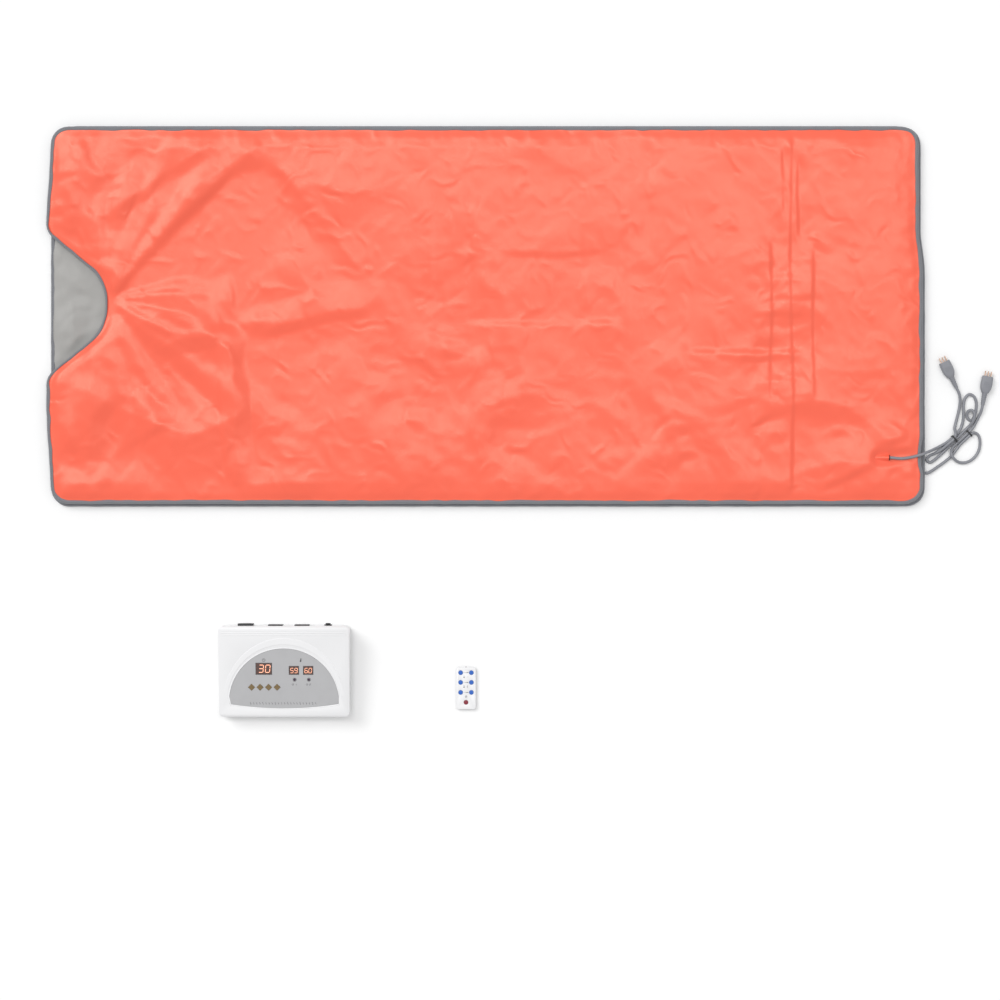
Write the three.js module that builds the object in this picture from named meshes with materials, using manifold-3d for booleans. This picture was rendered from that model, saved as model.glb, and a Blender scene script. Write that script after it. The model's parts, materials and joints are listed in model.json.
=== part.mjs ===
// Infrared sauna blanket with its two heater cords, table controller and card remote.
//
// Frame: millimetres, +Z up. The origin is the middle of the blanket's underside. +X points to
// the foot end, where the cords leave; -X is the head end with the neck notch. +Y is the joined
// back edge and -Y the edge that opens. The controller and the remote lie in front, towards -Y.
import * as THREE from 'three';
import { mergeVertices } from 'three/addons/utils/BufferGeometryUtils.js';
import Module from 'manifold-3d';

const wasm = await Module();
wasm.setup();

// ---- driving dimensions -------------------------------------------------------------------
const gap = 0.3; // clearance between pieces that rest on each other

// blanket, overall
const blanketLength = 1800;
const blanketWidth = 780;
const baseHeadSetback = 8; // the base's head edge sits inside the cover's
const coverFootSetback = 9.5; // the cover's foot edge sits inside the base's
const coverFrontSetback = 4.5; // and so does its front edge
const panelCornerRadius = 38;
const hingeClearance = 1; // from the hinge line to each panel's back edge

// panel layers
const fabricThickness = 0.8;
const insulationThickness = 5;
const heatingMatThickness = 1.6;
const insulationInset = 14;
const heatingMatInset = 30;
const bindingLip = 10;
const bindingWeb = 1.2;
const tapeThickness = 0.9;
const tapeWidth = 38;
const tapeLength = 1700;
const tapeInset = 11.5; // from the cover's front edge
const hingeStripWidth = 28;
const hingeStripLength = 1720;

// neck notch in the cover
const notchCentreY = 25;
const notchDepth = 122;
const notchBottomRadius = 100;
const notchMouthRadius = 40;
const notchFlankAngle = THREE.MathUtils.degToRad(50.8); // normal of the straight flanks

// over-heat switches in the insulation
const thermostatSize = new THREE.Vector3(20, 10, 3);
const thermostatX = 330;

// cords, plugs and ties
const cordDiameter = 6;
const cordStep = 14; // length of one straight stretch of a cord
const grommetFootInset = 74.5; // from the cover's foot edge
const grommetFrontInset = 95.5; // from the cover's front edge
const grommetRadius = 9;
const grommetFlange = 1.2;
const grommetBarrelRadius = 4;
const hoodSize = new THREE.Vector3(18.6, 11, 7);
const baseCordY = -320;
const plugWidth = 24;
const plugThickness = 15;
const plugLength = 36;
const plugRelief = 24;
const bladeLength = 10;
const bladeWidth = 4;
const bladeThickness = 2;
const bladePitch = 6;
const tieWidth = 3;
const tieThickness = 1;

// controller
const controllerX = -410.5;
const controllerY = -724.5;
const caseLength = 265;
const caseDepth = 186;
const caseRearHeight = 72;
const caseFrontHeight = 48;
const caseCorner = 10;
const caseTopEdge = 6;
const caseWall = 2.5;
const caseSplit = 26;
const footHeight = 4;
const footRadius = 8;
const footInset = 24;
const fasciaRadius = 111.5;
const fasciaCentreV = -64;
const fasciaBottomV = -75;
const fasciaThickness = 1.2;
const fasciaRecess = 1;
const boardThickness = 1.6;
const boardDepth = 9; // board's top face, below the case's top face
const timeDisplay = { u: -40.5, v: 6.3, w: 31.6, h: 22.8 };
const tempDisplay = { u: 20.7, v: 3, w: 19, h: 16.4, pitch: 29 };
const lampRadius = 2.6;
const lampV = -16.2;
const keyU = -65.7;
const keyV = -31.8;
const keyPitch = 17.3;
const keySide = 9.7;
const keyTravel = 0.7;
const keyProud = 0.9;
const rearPartsHeight = 38;
const inletX = -78.9;
const inletFlange = new THREE.Vector3(31.5, 4, 24);
const inletBody = new THREE.Vector3(27.4, 20, 20);
const inletRecess = new THREE.Vector3(23.6, 16, 16.2);
const inletPinLength = 10;
const socketX = [-18, 36];
const socketFlange = new THREE.Vector3(30, 2, 26);
const socketBody = new THREE.Vector3(25, 16, 20);
const fuseX = 88.8;
const fuseBodyRadius = 6.5;
const fuseFlangeRadius = 8;
const fuseCapRadius = 5.2;
const fuseLength = 26;
const transformerSize = new THREE.Vector3(62, 48, 28);
const transformerSpot = { x: 46, y: 12 };
const transformerEar = 9; // mounting ear beyond each end
const transformerEarThickness = 2;
const postRadius = 3;
const fuseBoreRadius = 3.4;
const fuseStemRadius = 3;
const fuseCapHeight = 2.4;

// remote
const remoteX = -41;
const remoteY = -761.5;
const remoteWidth = 40;
const remoteLength = 86;
const remoteHeight = 8;
const remoteCorner = 5;
const remoteWall = 1.4;
const remoteFloor = 1.2;
const remotePlate = 1.1;
const remoteSplit = 5.6;
const remoteKeyRadius = 4.5;
const remoteKeyProud = 1;
const remoteKeyTravel = 0.4;
const remoteKeyX = 11;
const remoteKeyRows = [32, 12, -8.5];
const powerKeyY = -28.8;
const batteryRadius = 10;
const batteryThickness = 2.5;
const trayWidth = 22.4;
const trayThickness = 3.4;
const trayLength = 26;
const railWidth = 1;
const remoteBoardThickness = 0.8;
const irLampRadius = 1.5;

// ---- materials ----------------------------------------------------------------------------
const paint = (color, roughness, metalness = 0) =>
  new THREE.MeshStandardMaterial({ color, roughness, metalness });
const coral = paint(0xff7360, 0.5);
const bindingGrey = paint(0x84858c, 0.8);
const liningGrey = paint(0x8f8a88, 0.8);
const felt = paint(0xe8e4dc, 0.95);
const carbonFilm = paint(0x2c2c30, 0.6);
const tapeBlack = paint(0x26262a, 0.9);
const cordGrey = paint(0x8b8c92, 0.6);
const tieBlack = paint(0x17171a, 0.5);
const brass = paint(0xc9a36a, 0.3, 1);
const caseWhite = paint(0xf2f2f2, 0.4);
const fasciaGrey = paint(0xbcbcbc, 0.45);
const displayBrown = paint(0x5a4440, 0.3);
const lampDark = paint(0x4a3d48, 0.3);
const keyBronze = paint(0x9a835c, 0.4, 0.4);
const blackPlastic = paint(0x1c1c1e, 0.5);
const rubber = paint(0x2b2b2d, 0.9);
const boardGreen = paint(0x2f6b45, 0.6);
const steel = paint(0xb8babd, 0.35, 1);
const keyBlue = paint(0x2d6fc4, 0.35);
const keyRed = paint(0x8e2335, 0.35);

// ---- solid helpers ------------------------------------------------------------------------
function toSolid(geometry) {
  const bare = geometry.index ? geometry.toNonIndexed() : geometry.clone();
  bare.deleteAttribute('normal');
  bare.deleteAttribute('uv');
  const merged = mergeVertices(bare, 1e-4);
  return new wasm.Manifold(new wasm.Mesh({
    numProp: 3,
    vertProperties: Float32Array.from(merged.attributes.position.array),
    triVerts: Uint32Array.from(merged.index.array),
  }));
}

function toGeometry(solid) {
  const mesh = solid.getMesh();
  const geometry = new THREE.BufferGeometry();
  geometry.setAttribute('position', new THREE.BufferAttribute(mesh.vertProperties, 3));
  geometry.setIndex(new THREE.BufferAttribute(mesh.triVerts, 1));
  const flat = geometry.toNonIndexed();
  flat.computeVertexNormals();
  return flat;
}

const union = (...solids) => solids.reduce((a, b) => a.add(b));

// A prism of a flat shape between two heights.
function prism(shape, z0, z1, curveSegments = 4) {
  const geometry = new THREE.ExtrudeGeometry(shape, { depth: z1 - z0, bevelEnabled: false, curveSegments });
  return toSolid(geometry.translate(0, 0, z0));
}

// A box given by its size and its middle.
const block = (sx, sy, sz, x, y, z) => toSolid(new THREE.BoxGeometry(sx, sy, sz).translate(x, y, z));

// A round bar along Y or Z, from its middle.
function barZ(radius, z0, z1, x, y, sides = 20) {
  const geometry = new THREE.CylinderGeometry(radius, radius, z1 - z0, sides).rotateX(Math.PI / 2);
  return toSolid(geometry.translate(x, y, (z0 + z1) / 2));
}
function barY(radius, y0, y1, x, z, sides = 20) {
  const geometry = new THREE.CylinderGeometry(radius, radius, y1 - y0, sides);
  return toSolid(geometry.translate(x, (y0 + y1) / 2, z));
}

function place(parent, name, solid, material) {
  const mesh = new THREE.Mesh(toGeometry(solid), material);
  mesh.name = name;
  parent.add(mesh);
  return mesh;
}

// ---- blanket panels -----------------------------------------------------------------------
// The outline of a panel, drawn inside its edge by an inset; arcs keep their centres.
function panelShape(panel, inset) {
  const { x0, x1, y0, y1, notch } = panel;
  const r = panelCornerRadius - Math.min(inset, panelCornerRadius - 4);
  const [left, right, low, high] = [x0 + inset, x1 - inset, y0 + inset, y1 - inset];
  const shape = new THREE.Shape();
  shape.moveTo(left + r, low);
  shape.lineTo(right - r, low);
  shape.absarc(right - r, low + r, r, -Math.PI / 2, 0);
  shape.lineTo(right, high - r);
  shape.absarc(right - r, high - r, r, 0, Math.PI / 2);
  shape.lineTo(left + r, high);
  shape.absarc(left + r, high - r, r, Math.PI / 2, Math.PI);
  if (notch) {
    // The flank's line sits at a fixed distance from the bottom arc's centre, so that the
    // bottom arc, the straight flank and the mouth arc run into each other smoothly.
    const nx = Math.cos(notchFlankAngle);
    const ny = Math.sin(notchFlankAngle);
    const bottomX = x0 + notchDepth - notchBottomRadius;
    const flank = nx * (notchDepth - notchBottomRadius) + notchBottomRadius;
    const mouthX = x0 + notchMouthRadius;
    const mouthOffset = (flank + notchMouthRadius - nx * notchMouthRadius) / ny;
    const mouthR = notchMouthRadius - inset;
    const bottomR = notchBottomRadius + inset;
    shape.lineTo(left, notchCentreY + mouthOffset);
    shape.absarc(mouthX, notchCentreY + mouthOffset, mouthR, Math.PI, Math.PI + notchFlankAngle);
    shape.absarc(bottomX, notchCentreY, bottomR, notchFlankAngle, -notchFlankAngle, true);
    shape.absarc(mouthX, notchCentreY - mouthOffset, mouthR, Math.PI - notchFlankAngle, Math.PI);
  }
  shape.lineTo(left, low + r);
  shape.absarc(left + r, low + r, r, Math.PI, 1.5 * Math.PI);
  return shape;
}

// A panel's fabric face: a plate inside the binding's lip, and a rim tucked under the lip.
// up is +1 where the stack lies above the plate and -1 where it lies below.
function fabricFace(panel, z, up) {
  const far = z + up * fabricThickness;
  const rimNear = far + up * gap;
  const rimFar = rimNear + up * fabricThickness;
  const span = (a, b) => [Math.min(a, b), Math.max(a, b)];
  const plateInset = bindingLip + gap;
  const tray = union(
    prism(panelShape(panel, plateInset), ...span(z, rimFar)),
    prism(panelShape(panel, bindingWeb + gap), ...span(rimNear, rimFar)),
  );
  return tray.subtract(prism(panelShape(panel, plateInset + 1), ...span(far, rimFar + up)));
}

// The binding is a tape folded round the edge, so its section is a U that opens inwards.
function binding(panel, z0, z1) {
  return prism(panelShape(panel, 0), z0, z1)
    .subtract(prism(panelShape(panel, bindingLip), z0 - 1, z1 + 1))
    .subtract(prism(panelShape(panel, bindingWeb), z0 + fabricThickness, z1 - fabricThickness));
}

const hingeY = blanketWidth / 2;
const basePanel = {
  x0: -blanketLength / 2 + baseHeadSetback,
  x1: blanketLength / 2,
  y0: -blanketWidth / 2 + hingeClearance,
  y1: hingeY - hingeClearance,
};
const coverPanel = {
  x0: -blanketLength / 2,
  x1: blanketLength / 2 - coverFootSetback,
  y0: basePanel.y0 + coverFrontSetback,
  y1: hingeY - hingeClearance,
  notch: true,
};

// heights of the layers, from the floor up
const panelThickness = 2 * fabricThickness + insulationThickness + heatingMatThickness + 3 * gap;
const panelSpace = 2 * tapeThickness + 3 * gap;
const coverBottom = panelThickness + panelSpace;
const coverTop = coverBottom + panelThickness;
const baseInsulationZ = fabricThickness + gap;
const baseMatZ = baseInsulationZ + insulationThickness + gap;
const coverMatZ = coverBottom + fabricThickness + gap;
const coverInsulationZ = coverMatZ + heatingMatThickness + gap;

const blanket = new THREE.Group();

function thermostatPocket(z, y) {
  return block(thermostatSize.x + 2 * gap, thermostatSize.y + 2 * gap, thermostatSize.z + 2 * gap,
    thermostatX, y, z);
}
const thermostat = (z, y) => block(...thermostatSize, thermostatX, y, z);
const baseThermostatZ = baseInsulationZ + insulationThickness - thermostatSize.z / 2 - gap / 2;
const coverThermostatZ = coverInsulationZ + thermostatSize.z / 2 + gap / 2;
const baseThermostatY = 60;
const coverThermostatY = -60;

place(blanket, 'base_shell', fabricFace(basePanel, 0, 1), coral);
place(blanket, 'base_insulation',
  prism(panelShape(basePanel, insulationInset), baseInsulationZ, baseInsulationZ + insulationThickness)
    .subtract(thermostatPocket(baseThermostatZ, baseThermostatY)), felt);
place(blanket, 'base_thermostat', thermostat(baseThermostatZ, baseThermostatY), blackPlastic);
place(blanket, 'base_heating_mat',
  prism(panelShape(basePanel, heatingMatInset), baseMatZ, baseMatZ + heatingMatThickness), carbonFilm);
place(blanket, 'base_lining', fabricFace(basePanel, panelThickness, -1), liningGrey);
place(blanket, 'base_binding', binding(basePanel, 0, panelThickness), bindingGrey);

const grommetX = coverPanel.x1 - grommetFootInset;
const grommetY = coverPanel.y0 + grommetFrontInset;
const grommetHole = barZ(grommetBarrelRadius + gap, coverInsulationZ - 1, coverTop + 1, grommetX, grommetY, 12);
place(blanket, 'cover_lining', fabricFace(coverPanel, coverBottom, 1), liningGrey);
place(blanket, 'cover_heating_mat',
  prism(panelShape(coverPanel, heatingMatInset), coverMatZ, coverMatZ + heatingMatThickness), carbonFilm);
place(blanket, 'cover_insulation',
  prism(panelShape(coverPanel, insulationInset), coverInsulationZ, coverInsulationZ + insulationThickness)
    .subtract(thermostatPocket(coverThermostatZ, coverThermostatY)).subtract(grommetHole), felt);
place(blanket, 'cover_thermostat', thermostat(coverThermostatZ, coverThermostatY), blackPlastic);
place(blanket, 'cover_shell', fabricFace(coverPanel, coverTop, -1).subtract(grommetHole), coral);
place(blanket, 'cover_binding', binding(coverPanel, coverBottom, coverTop), bindingGrey);

// hook-and-loop closure along the front edge, and the folded strip that joins the back edges
const tapeY = coverPanel.y0 + tapeInset + tapeWidth / 2;
const hookZ = panelThickness + gap;
place(blanket, 'hook_tape',
  block(tapeLength, tapeWidth, tapeThickness, 0, tapeY, hookZ + tapeThickness / 2), tapeBlack);
place(blanket, 'loop_tape',
  block(tapeLength, tapeWidth, tapeThickness, 0, tapeY, hookZ + gap + 1.5 * tapeThickness), tapeBlack);
place(blanket, 'hinge_strip',
  block(hingeStripLength, hingeStripWidth, panelSpace - 2 * gap, 0,
    hingeY - hingeClearance - hingeStripWidth / 2, panelThickness + panelSpace / 2), bindingGrey);

// ---- cords --------------------------------------------------------------------------------
// The cover's cord leaves a hood on the cover, drops over the edge to the floor, makes two
// loops and a long fold, and ends in its plug. It lies above the base's cord wherever they cross.
const hoodZ = coverTop + gap;
const coverCordRoute = [
  [grommetX + hoodSize.x / 2 + gap, grommetY, hoodZ + hoodSize.z / 2], [832, -289.3, 24.6],
  [840, -290.3, 24.4], [853, -290.5, 24.2], [870, -288, 24.2],
  [890, -282.5, 24.4], [901, -278.4, 22.3], [913, -273.6, 14.5], [925, -268.5, 5.6],
  [942, -259.5, 4.2], [957.6, -247.3, 4.8], [967, -238, 4.4], [974.5, -227, 3.2],
  [978.4, -213, 3.2], [979.6, -198, 3.2], [979.5, -181, 3.2], [983, -166.5, 3.2],
  [991.5, -159, 3.2], [1000.5, -163, 3.2], [1005.3, -174, 3.2], [1005.3, -189, 3.2],
  [1002, -203, 3.2], [996, -212, 3.2], [989, -209.5, 3.4], [986.3, -201, 4.4],
  [989, -193.5, 7], [995.5, -191.5, 9.4], [1000.3, -197, 10.2], [1000.5, -206.5, 10],
  [997, -216, 8.5], [991, -224, 4.6], [983, -232, 3.2], [972, -243, 4.4], [962, -252, 4.8],
  [950, -265, 4.2], [937, -278.5, 3.2], [922, -291.5, 3.2], [910.5, -298.5, 3.2],
  [903.8, -293, 3.2], [909.5, -285, 3.2], [923, -279, 3.4], [936, -270.5, 6.6],
  [948, -260, 10.4], [959.3, -249.5, 11], [962, -240, 10.7], [961, -229, 4.8],
  [964.5, -214, 3.2], [968.5, -198, 3.2], [971.4, -184, 3.4], [972.2, -169, 5.4],
  [969.6, -157, 7.5], [964.6, -146.5, 7.8],
];
const baseCordRoute = [
  [blanketLength / 2 + gap, baseCordY, panelThickness / 2], [906, baseCordY, 4.4],
  [914, -316, 3.6], [925, -308.5, 3.2], [938, -299.5, 3.2],
  [952, -288, 3.2], [963.5, -274, 3.2], [972.5, -262, 3.2], [982.5, -252.5, 4.2],
  [993.8, -241.6, 4.8], [1000.5, -237.6, 4.2], [1008, -240.5, 3.2], [1012.5, -250, 3.2],
  [1013, -264, 3.2], [1008.5, -279, 3.2], [999, -291, 3.2], [985, -298.5, 3.2], [970, -298, 4.8],
  [958.5, -290.5, 9.7], [953, -280.5, 10], [957, -268.5, 4.6], [967.6, -257.8, 3.2],
  [978, -248.2, 4.2], [989.2, -237.2, 4.8], [998.5, -227, 4.2], [1006, -214, 3.2],
  [1012, -201.5, 4.6], [1015.8, -191, 7.5], [1017.6, -181.2, 7.8],
];

const point = ([x, y, z]) => new THREE.Vector3(x, y, z);
function cord(route) {
  const path = new THREE.CatmullRomCurve3(route.map(point), false, 'centripetal');
  const section = new THREE.Shape();
  section.absarc(0, 0, cordDiameter / 2, 0, 2 * Math.PI);
  const steps = Math.round(path.getLength() / cordStep);
  return toSolid(new THREE.ExtrudeGeometry(section, {
    steps, extrudePath: path, curveSegments: 5, bevelEnabled: false,
  }));
}
place(blanket, 'cover_cord', cord(coverCordRoute), cordGrey);
place(blanket, 'base_cord', cord(baseCordRoute), cordGrey);

// A low hood over a barrel through the cover's cloth turns the cord to lie along it.
place(blanket, 'cover_cord_grommet', union(
  barZ(grommetRadius, hoodZ, hoodZ + grommetFlange, grommetX, grommetY, 24),
  barZ(grommetBarrelRadius, coverInsulationZ + gap, hoodZ + 1, grommetX, grommetY, 12),
  block(...hoodSize, grommetX, grommetY, hoodZ + hoodSize.z / 2),
), blackPlastic);

// A moulded plug with its strain relief, made pointing along +Y with the cord's end at the origin.
function plugBody() {
  const half = plugWidth / 2;
  const outline = new THREE.Shape();
  outline.moveTo(-5, 0);
  outline.lineTo(5, 0);
  outline.quadraticCurveTo(half, 6, half, plugLength * 0.55);
  outline.lineTo(half - 2, plugLength);
  outline.lineTo(2 - half, plugLength);
  outline.lineTo(-half, plugLength * 0.55);
  outline.quadraticCurveTo(-half, 6, -5, 0);
  const body = prism(outline, -plugThickness / 2, plugThickness / 2).translate(0, plugRelief, 0);
  const relief = new THREE.CylinderGeometry(5.4, 3.8, plugRelief + 1, 12)
    .translate(0, (plugRelief + 1) / 2, 0);
  const socket = block(bladePitch * 2 + 6, 3, 7, 0, plugRelief + plugLength, 0);
  return body.add(toSolid(relief)).subtract(socket);
}
// The three blades stand on one insulating plate set into the plug's face.
function plugBlades() {
  const end = plugRelief + plugLength;
  const plate = block(bladePitch * 2 + 6 - 2 * gap, 1.2, 7 - 2 * gap, 0, end - 0.6, 0);
  const blades = [-1, 0, 1].map((i) => block(
    bladeThickness, bladeLength + 1, bladeWidth, i * bladePitch, end + (bladeLength - 1) / 2, 0));
  return union(plate, ...blades);
}
function plug(name, route) {
  const end = point(route.at(-1));
  const before = point(route.at(-2));
  const group = new THREE.Group();
  group.position.copy(end);
  group.rotation.z = Math.atan2(end.y - before.y, end.x - before.x) - Math.PI / 2;
  const toward = new THREE.Vector3(0, gap, 0).applyEuler(group.rotation);
  group.position.add(toward);
  place(group, name, plugBody(), cordGrey);
  place(group, `${name}_contacts`, plugBlades(), brass);
  blanket.add(group);
}
plug('cover_plug', coverCordRoute);
plug('base_plug', baseCordRoute);

// A tie is a flat band round its strands, square to them.
function tie(name, x, y, angle, width, height) {
  const outline = new THREE.Shape();
  const hole = new THREE.Path();
  const ring = (path, w, low, high, r) => {
    path.moveTo(w - r, low);
    path.absarc(w - r, low + r, r, -Math.PI / 2, 0);
    path.absarc(w - r, high - r, r, 0, Math.PI / 2);
    path.absarc(r - w, high - r, r, Math.PI / 2, Math.PI);
    path.absarc(r - w, low + r, r, Math.PI, 1.5 * Math.PI);
  };
  ring(outline, width / 2 + tieThickness, 0, height + 2 * tieThickness, 3.5);
  ring(hole, width / 2, tieThickness, height + tieThickness, 2.5);
  outline.holes.push(hole);
  const band = new THREE.ExtrudeGeometry(outline, { depth: tieWidth, bevelEnabled: false, curveSegments: 3 });
  band.translate(0, 0, -tieWidth / 2).rotateX(Math.PI / 2);
  const mesh = place(blanket, name, toSolid(band), tieBlack);
  mesh.position.set(x, y, gap);
  mesh.rotation.z = angle - Math.PI / 2;
}
const bundleAngle = Math.atan2(28, 30);
tie('cord_tie_1', 959.8, -249.7, bundleAngle, 13.8, 13.4);
tie('cord_tie_2', 991.5, -239.4, bundleAngle, 13.6, 7.4);

// ---- controller ---------------------------------------------------------------------------
// The case is a wedge: a rounded rectangle in plan, cut by a side profile that slopes to the front.
const controller = new THREE.Group();
controller.position.set(controllerX, controllerY, 0);

function roundedRectangle(width, height, r) {
  const shape = new THREE.Shape();
  const [w, h] = [width / 2, height / 2];
  shape.moveTo(w - r, -h);
  shape.absarc(w - r, r - h, r, -Math.PI / 2, 0);
  shape.absarc(w - r, h - r, r, 0, Math.PI / 2);
  shape.absarc(r - w, h - r, r, Math.PI / 2, Math.PI);
  shape.absarc(r - w, r - h, r, Math.PI, 1.5 * Math.PI);
  return shape;
}

const slope = Math.atan2(caseRearHeight - caseFrontHeight, caseDepth);
const caseFaceZ = (caseRearHeight + caseFrontHeight) / 2;

function wedge(inset) {
  const plan = roundedRectangle(caseLength - 2 * inset, caseDepth - 2 * inset, caseCorner - inset);
  const low = footHeight + inset;
  const half = caseDepth / 2 - inset;
  const r = caseTopEdge - inset;
  const drop = inset / Math.cos(slope);
  const faceZ = (y) => caseFaceZ + y * Math.tan(slope) - drop;
  const side = new THREE.Shape();
  side.moveTo(-half, low);
  side.lineTo(half, low);
  side.lineTo(half, faceZ(half) - r);
  side.quadraticCurveTo(half, faceZ(half), half - r, faceZ(half - r));
  side.lineTo(-half + r, faceZ(-half + r));
  side.quadraticCurveTo(-half, faceZ(-half), -half, faceZ(-half) - r);
  const profile = new THREE.ExtrudeGeometry(side, {
    depth: caseLength + 10, bevelEnabled: false, curveSegments: 3,
  });
  profile.translate(0, 0, -caseLength / 2 - 5);
  const axes = new THREE.Matrix4().makeBasis(
    new THREE.Vector3(0, 1, 0), new THREE.Vector3(0, 0, 1), new THREE.Vector3(1, 0, 0));
  return prism(plan, low, caseRearHeight + 10).intersect(toSolid(profile.applyMatrix4(axes)));
}

// Pieces on the sloping face are made flat, with z = 0 at the face, and turned into place.
const faceGroup = new THREE.Group();
faceGroup.position.set(0, 0, caseFaceZ);
faceGroup.rotation.x = slope;
controller.add(faceGroup);
const onFace = (solid) => solid.rotate([THREE.MathUtils.radToDeg(slope), 0, 0]).translate([0, 0, caseFaceZ]);

function halfMoon(grow) {
  const r = fasciaRadius + grow;
  const side = 0.12;
  const shape = new THREE.Shape();
  const cornerX = r * Math.cos(side);
  const cornerV = fasciaCentreV + grow * -0.5;
  shape.moveTo(cornerX, cornerV - 2 - grow);
  shape.absarc(0, fasciaCentreV, r, side, Math.PI - side);
  shape.lineTo(-cornerX, cornerV - 2 - grow);
  shape.quadraticCurveTo(0, 2 * (fasciaBottomV - grow) - (cornerV - 2 - grow), cornerX, cornerV - 2 - grow);
  return shape;
}
const boxOnFace = (spot, grow, low, high) =>
  block(spot.w + 2 * grow, spot.h + 2 * grow, high - low, spot.u, spot.v, (low + high) / 2);
const secondTemp = { ...tempDisplay, u: tempDisplay.u + tempDisplay.pitch };
const displays = { time_display: timeDisplay, temp_display_1: tempDisplay, temp_display_2: secondTemp };
const lamps = { output_lamp_1: tempDisplay.u + 1.2, output_lamp_2: secondTemp.u + 1.2 };
const controllerKeys = ['start_stop_key', 'up_key', 'down_key', 'mode_key'];
const fasciaLow = gap - fasciaRecess;
const fasciaTop = fasciaLow + fasciaThickness;
const boardTop = -boardDepth;
const bay = { u: -6, v: -10, w: 150, h: 66 };
const bayInset = 8; // the bay's corners follow the fascia's edge, this far inside it
const moonSegments = 20;

function diamond(grow, low, high, u) {
  const bar = new THREE.BoxGeometry(keySide + 2 * grow, keySide + 2 * grow, high - low);
  return toSolid(bar.rotateZ(Math.PI / 4).translate(u, keyV, (low + high) / 2));
}

// Four posts carry the board under the face, outside the bay that the displays look through.
const postU = bay.w / 2 + 6;
const posts = [-1, 1].flatMap((i) => [-1, 1].map((j) => onFace(
  barZ(postRadius, boardTop + gap, -caseWall + 0.5, bay.u + i * postU, bay.v + j * bay.h / 2.6, 10))));
const caseSolid = wedge(0).subtract(wedge(caseWall));
const aboveSplit = block(400, 400, 100, 0, 0, caseSplit + gap + 50);
const belowSplit = block(400, 400, 100, 0, 0, caseSplit - 50);
const rearY = caseDepth / 2;

// holes in the rear wall for the parts that face backwards
const rearHole = (x, size) => block(size.x + 2 * gap, 12, size.z + 2 * gap, x, rearY - caseWall, rearPartsHeight);
const rearHoles = union(
  rearHole(inletX, inletBody),
  ...socketX.map((x) => rearHole(x, socketBody)),
  barY(fuseBodyRadius + gap, rearY - 8, rearY + 4, fuseX, rearPartsHeight),
);
// The rear holes are cut from both halves, so that the split can sit at any height.
place(controller, 'case_top', union(caseSolid.intersect(aboveSplit), ...posts)
  .subtract(onFace(prism(halfMoon(gap), -fasciaRecess, 5, moonSegments)))
  .subtract(onFace(boxOnFace(bay, 0, -8, 5).intersect(prism(halfMoon(-bayInset), -9, 6, moonSegments))))
  .subtract(rearHoles), caseWhite);
place(controller, 'case_base', caseSolid.intersect(belowSplit).subtract(rearHoles), caseWhite);

let fasciaSolid = prism(halfMoon(0), fasciaLow, fasciaTop, moonSegments);
for (const spot of Object.values(displays)) {
  fasciaSolid = fasciaSolid.subtract(boxOnFace(spot, gap, -5, 5));
}
for (const u of Object.values(lamps)) {
  fasciaSolid = fasciaSolid.subtract(barZ(lampRadius + gap, -5, 5, u, lampV, 16));
}
controllerKeys.forEach((name, i) => {
  fasciaSolid = fasciaSolid.subtract(diamond(gap, -5, 5, keyU + i * keyPitch));
});
place(faceGroup, 'fascia', fasciaSolid, fasciaGrey);
for (const [name, spot] of Object.entries(displays)) {
  place(faceGroup, name, boxOnFace(spot, 0, boardTop + gap, fasciaTop), displayBrown);
}
for (const [name, u] of Object.entries(lamps)) {
  place(faceGroup, name, barZ(lampRadius, boardTop + gap, fasciaTop + 0.5, u, lampV, 16), lampDark);
}
controllerKeys.forEach((name, i) => {
  const low = boardTop + gap + keyTravel + gap;
  place(faceGroup, name, diamond(0, low, fasciaTop + keyProud, keyU + i * keyPitch), keyBronze);
});
place(faceGroup, 'control_board',
  block(bay.w + 26, bay.h + 10, boardThickness, bay.u, bay.v, boardTop - boardThickness / 2), boardGreen);

const floorZ = footHeight + caseWall;
place(controller, 'transformer', union(
  block(...transformerSize, transformerSpot.x, transformerSpot.y, floorZ + gap + transformerSize.z / 2),
  block(transformerSize.x + 2 * transformerEar, transformerSize.y / 2, transformerEarThickness,
    transformerSpot.x, transformerSpot.y, floorZ + gap + transformerEarThickness / 2),
), steel);

function rearPart(x, flange, body) {
  return union(
    block(...flange, x, rearY + gap + flange.y / 2, rearPartsHeight),
    block(...body, x, rearY + gap - body.y / 2 + 0.5, rearPartsHeight),
  );
}
const inletMouth = rearY + gap + inletFlange.y;
const inletPins = [-1, 0, 1].map((i) => block(
  4, inletPinLength, 2, inletX + i * 7, inletMouth - inletRecess.y + inletPinLength / 2 - 0.5,
  rearPartsHeight + (i === 0 ? 2 : -2)));
place(controller, 'mains_inlet', union(
  rearPart(inletX, inletFlange, inletBody)
    .subtract(block(...inletRecess, inletX, inletMouth - inletRecess.y / 2 + 0.01, rearPartsHeight)),
  ...inletPins,
), blackPlastic);
socketX.forEach((x, i) => {
  const slots = [-1, 0, 1].map((j) => block(
    bladeThickness + 0.8, 13, bladeWidth + 0.8, x + j * bladePitch,
    rearY + gap + socketFlange.y - 6, rearPartsHeight));
  place(controller, `output_socket_${i + 1}`,
    rearPart(x, socketFlange, socketBody).subtract(union(...slots)), blackPlastic);
});

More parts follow.
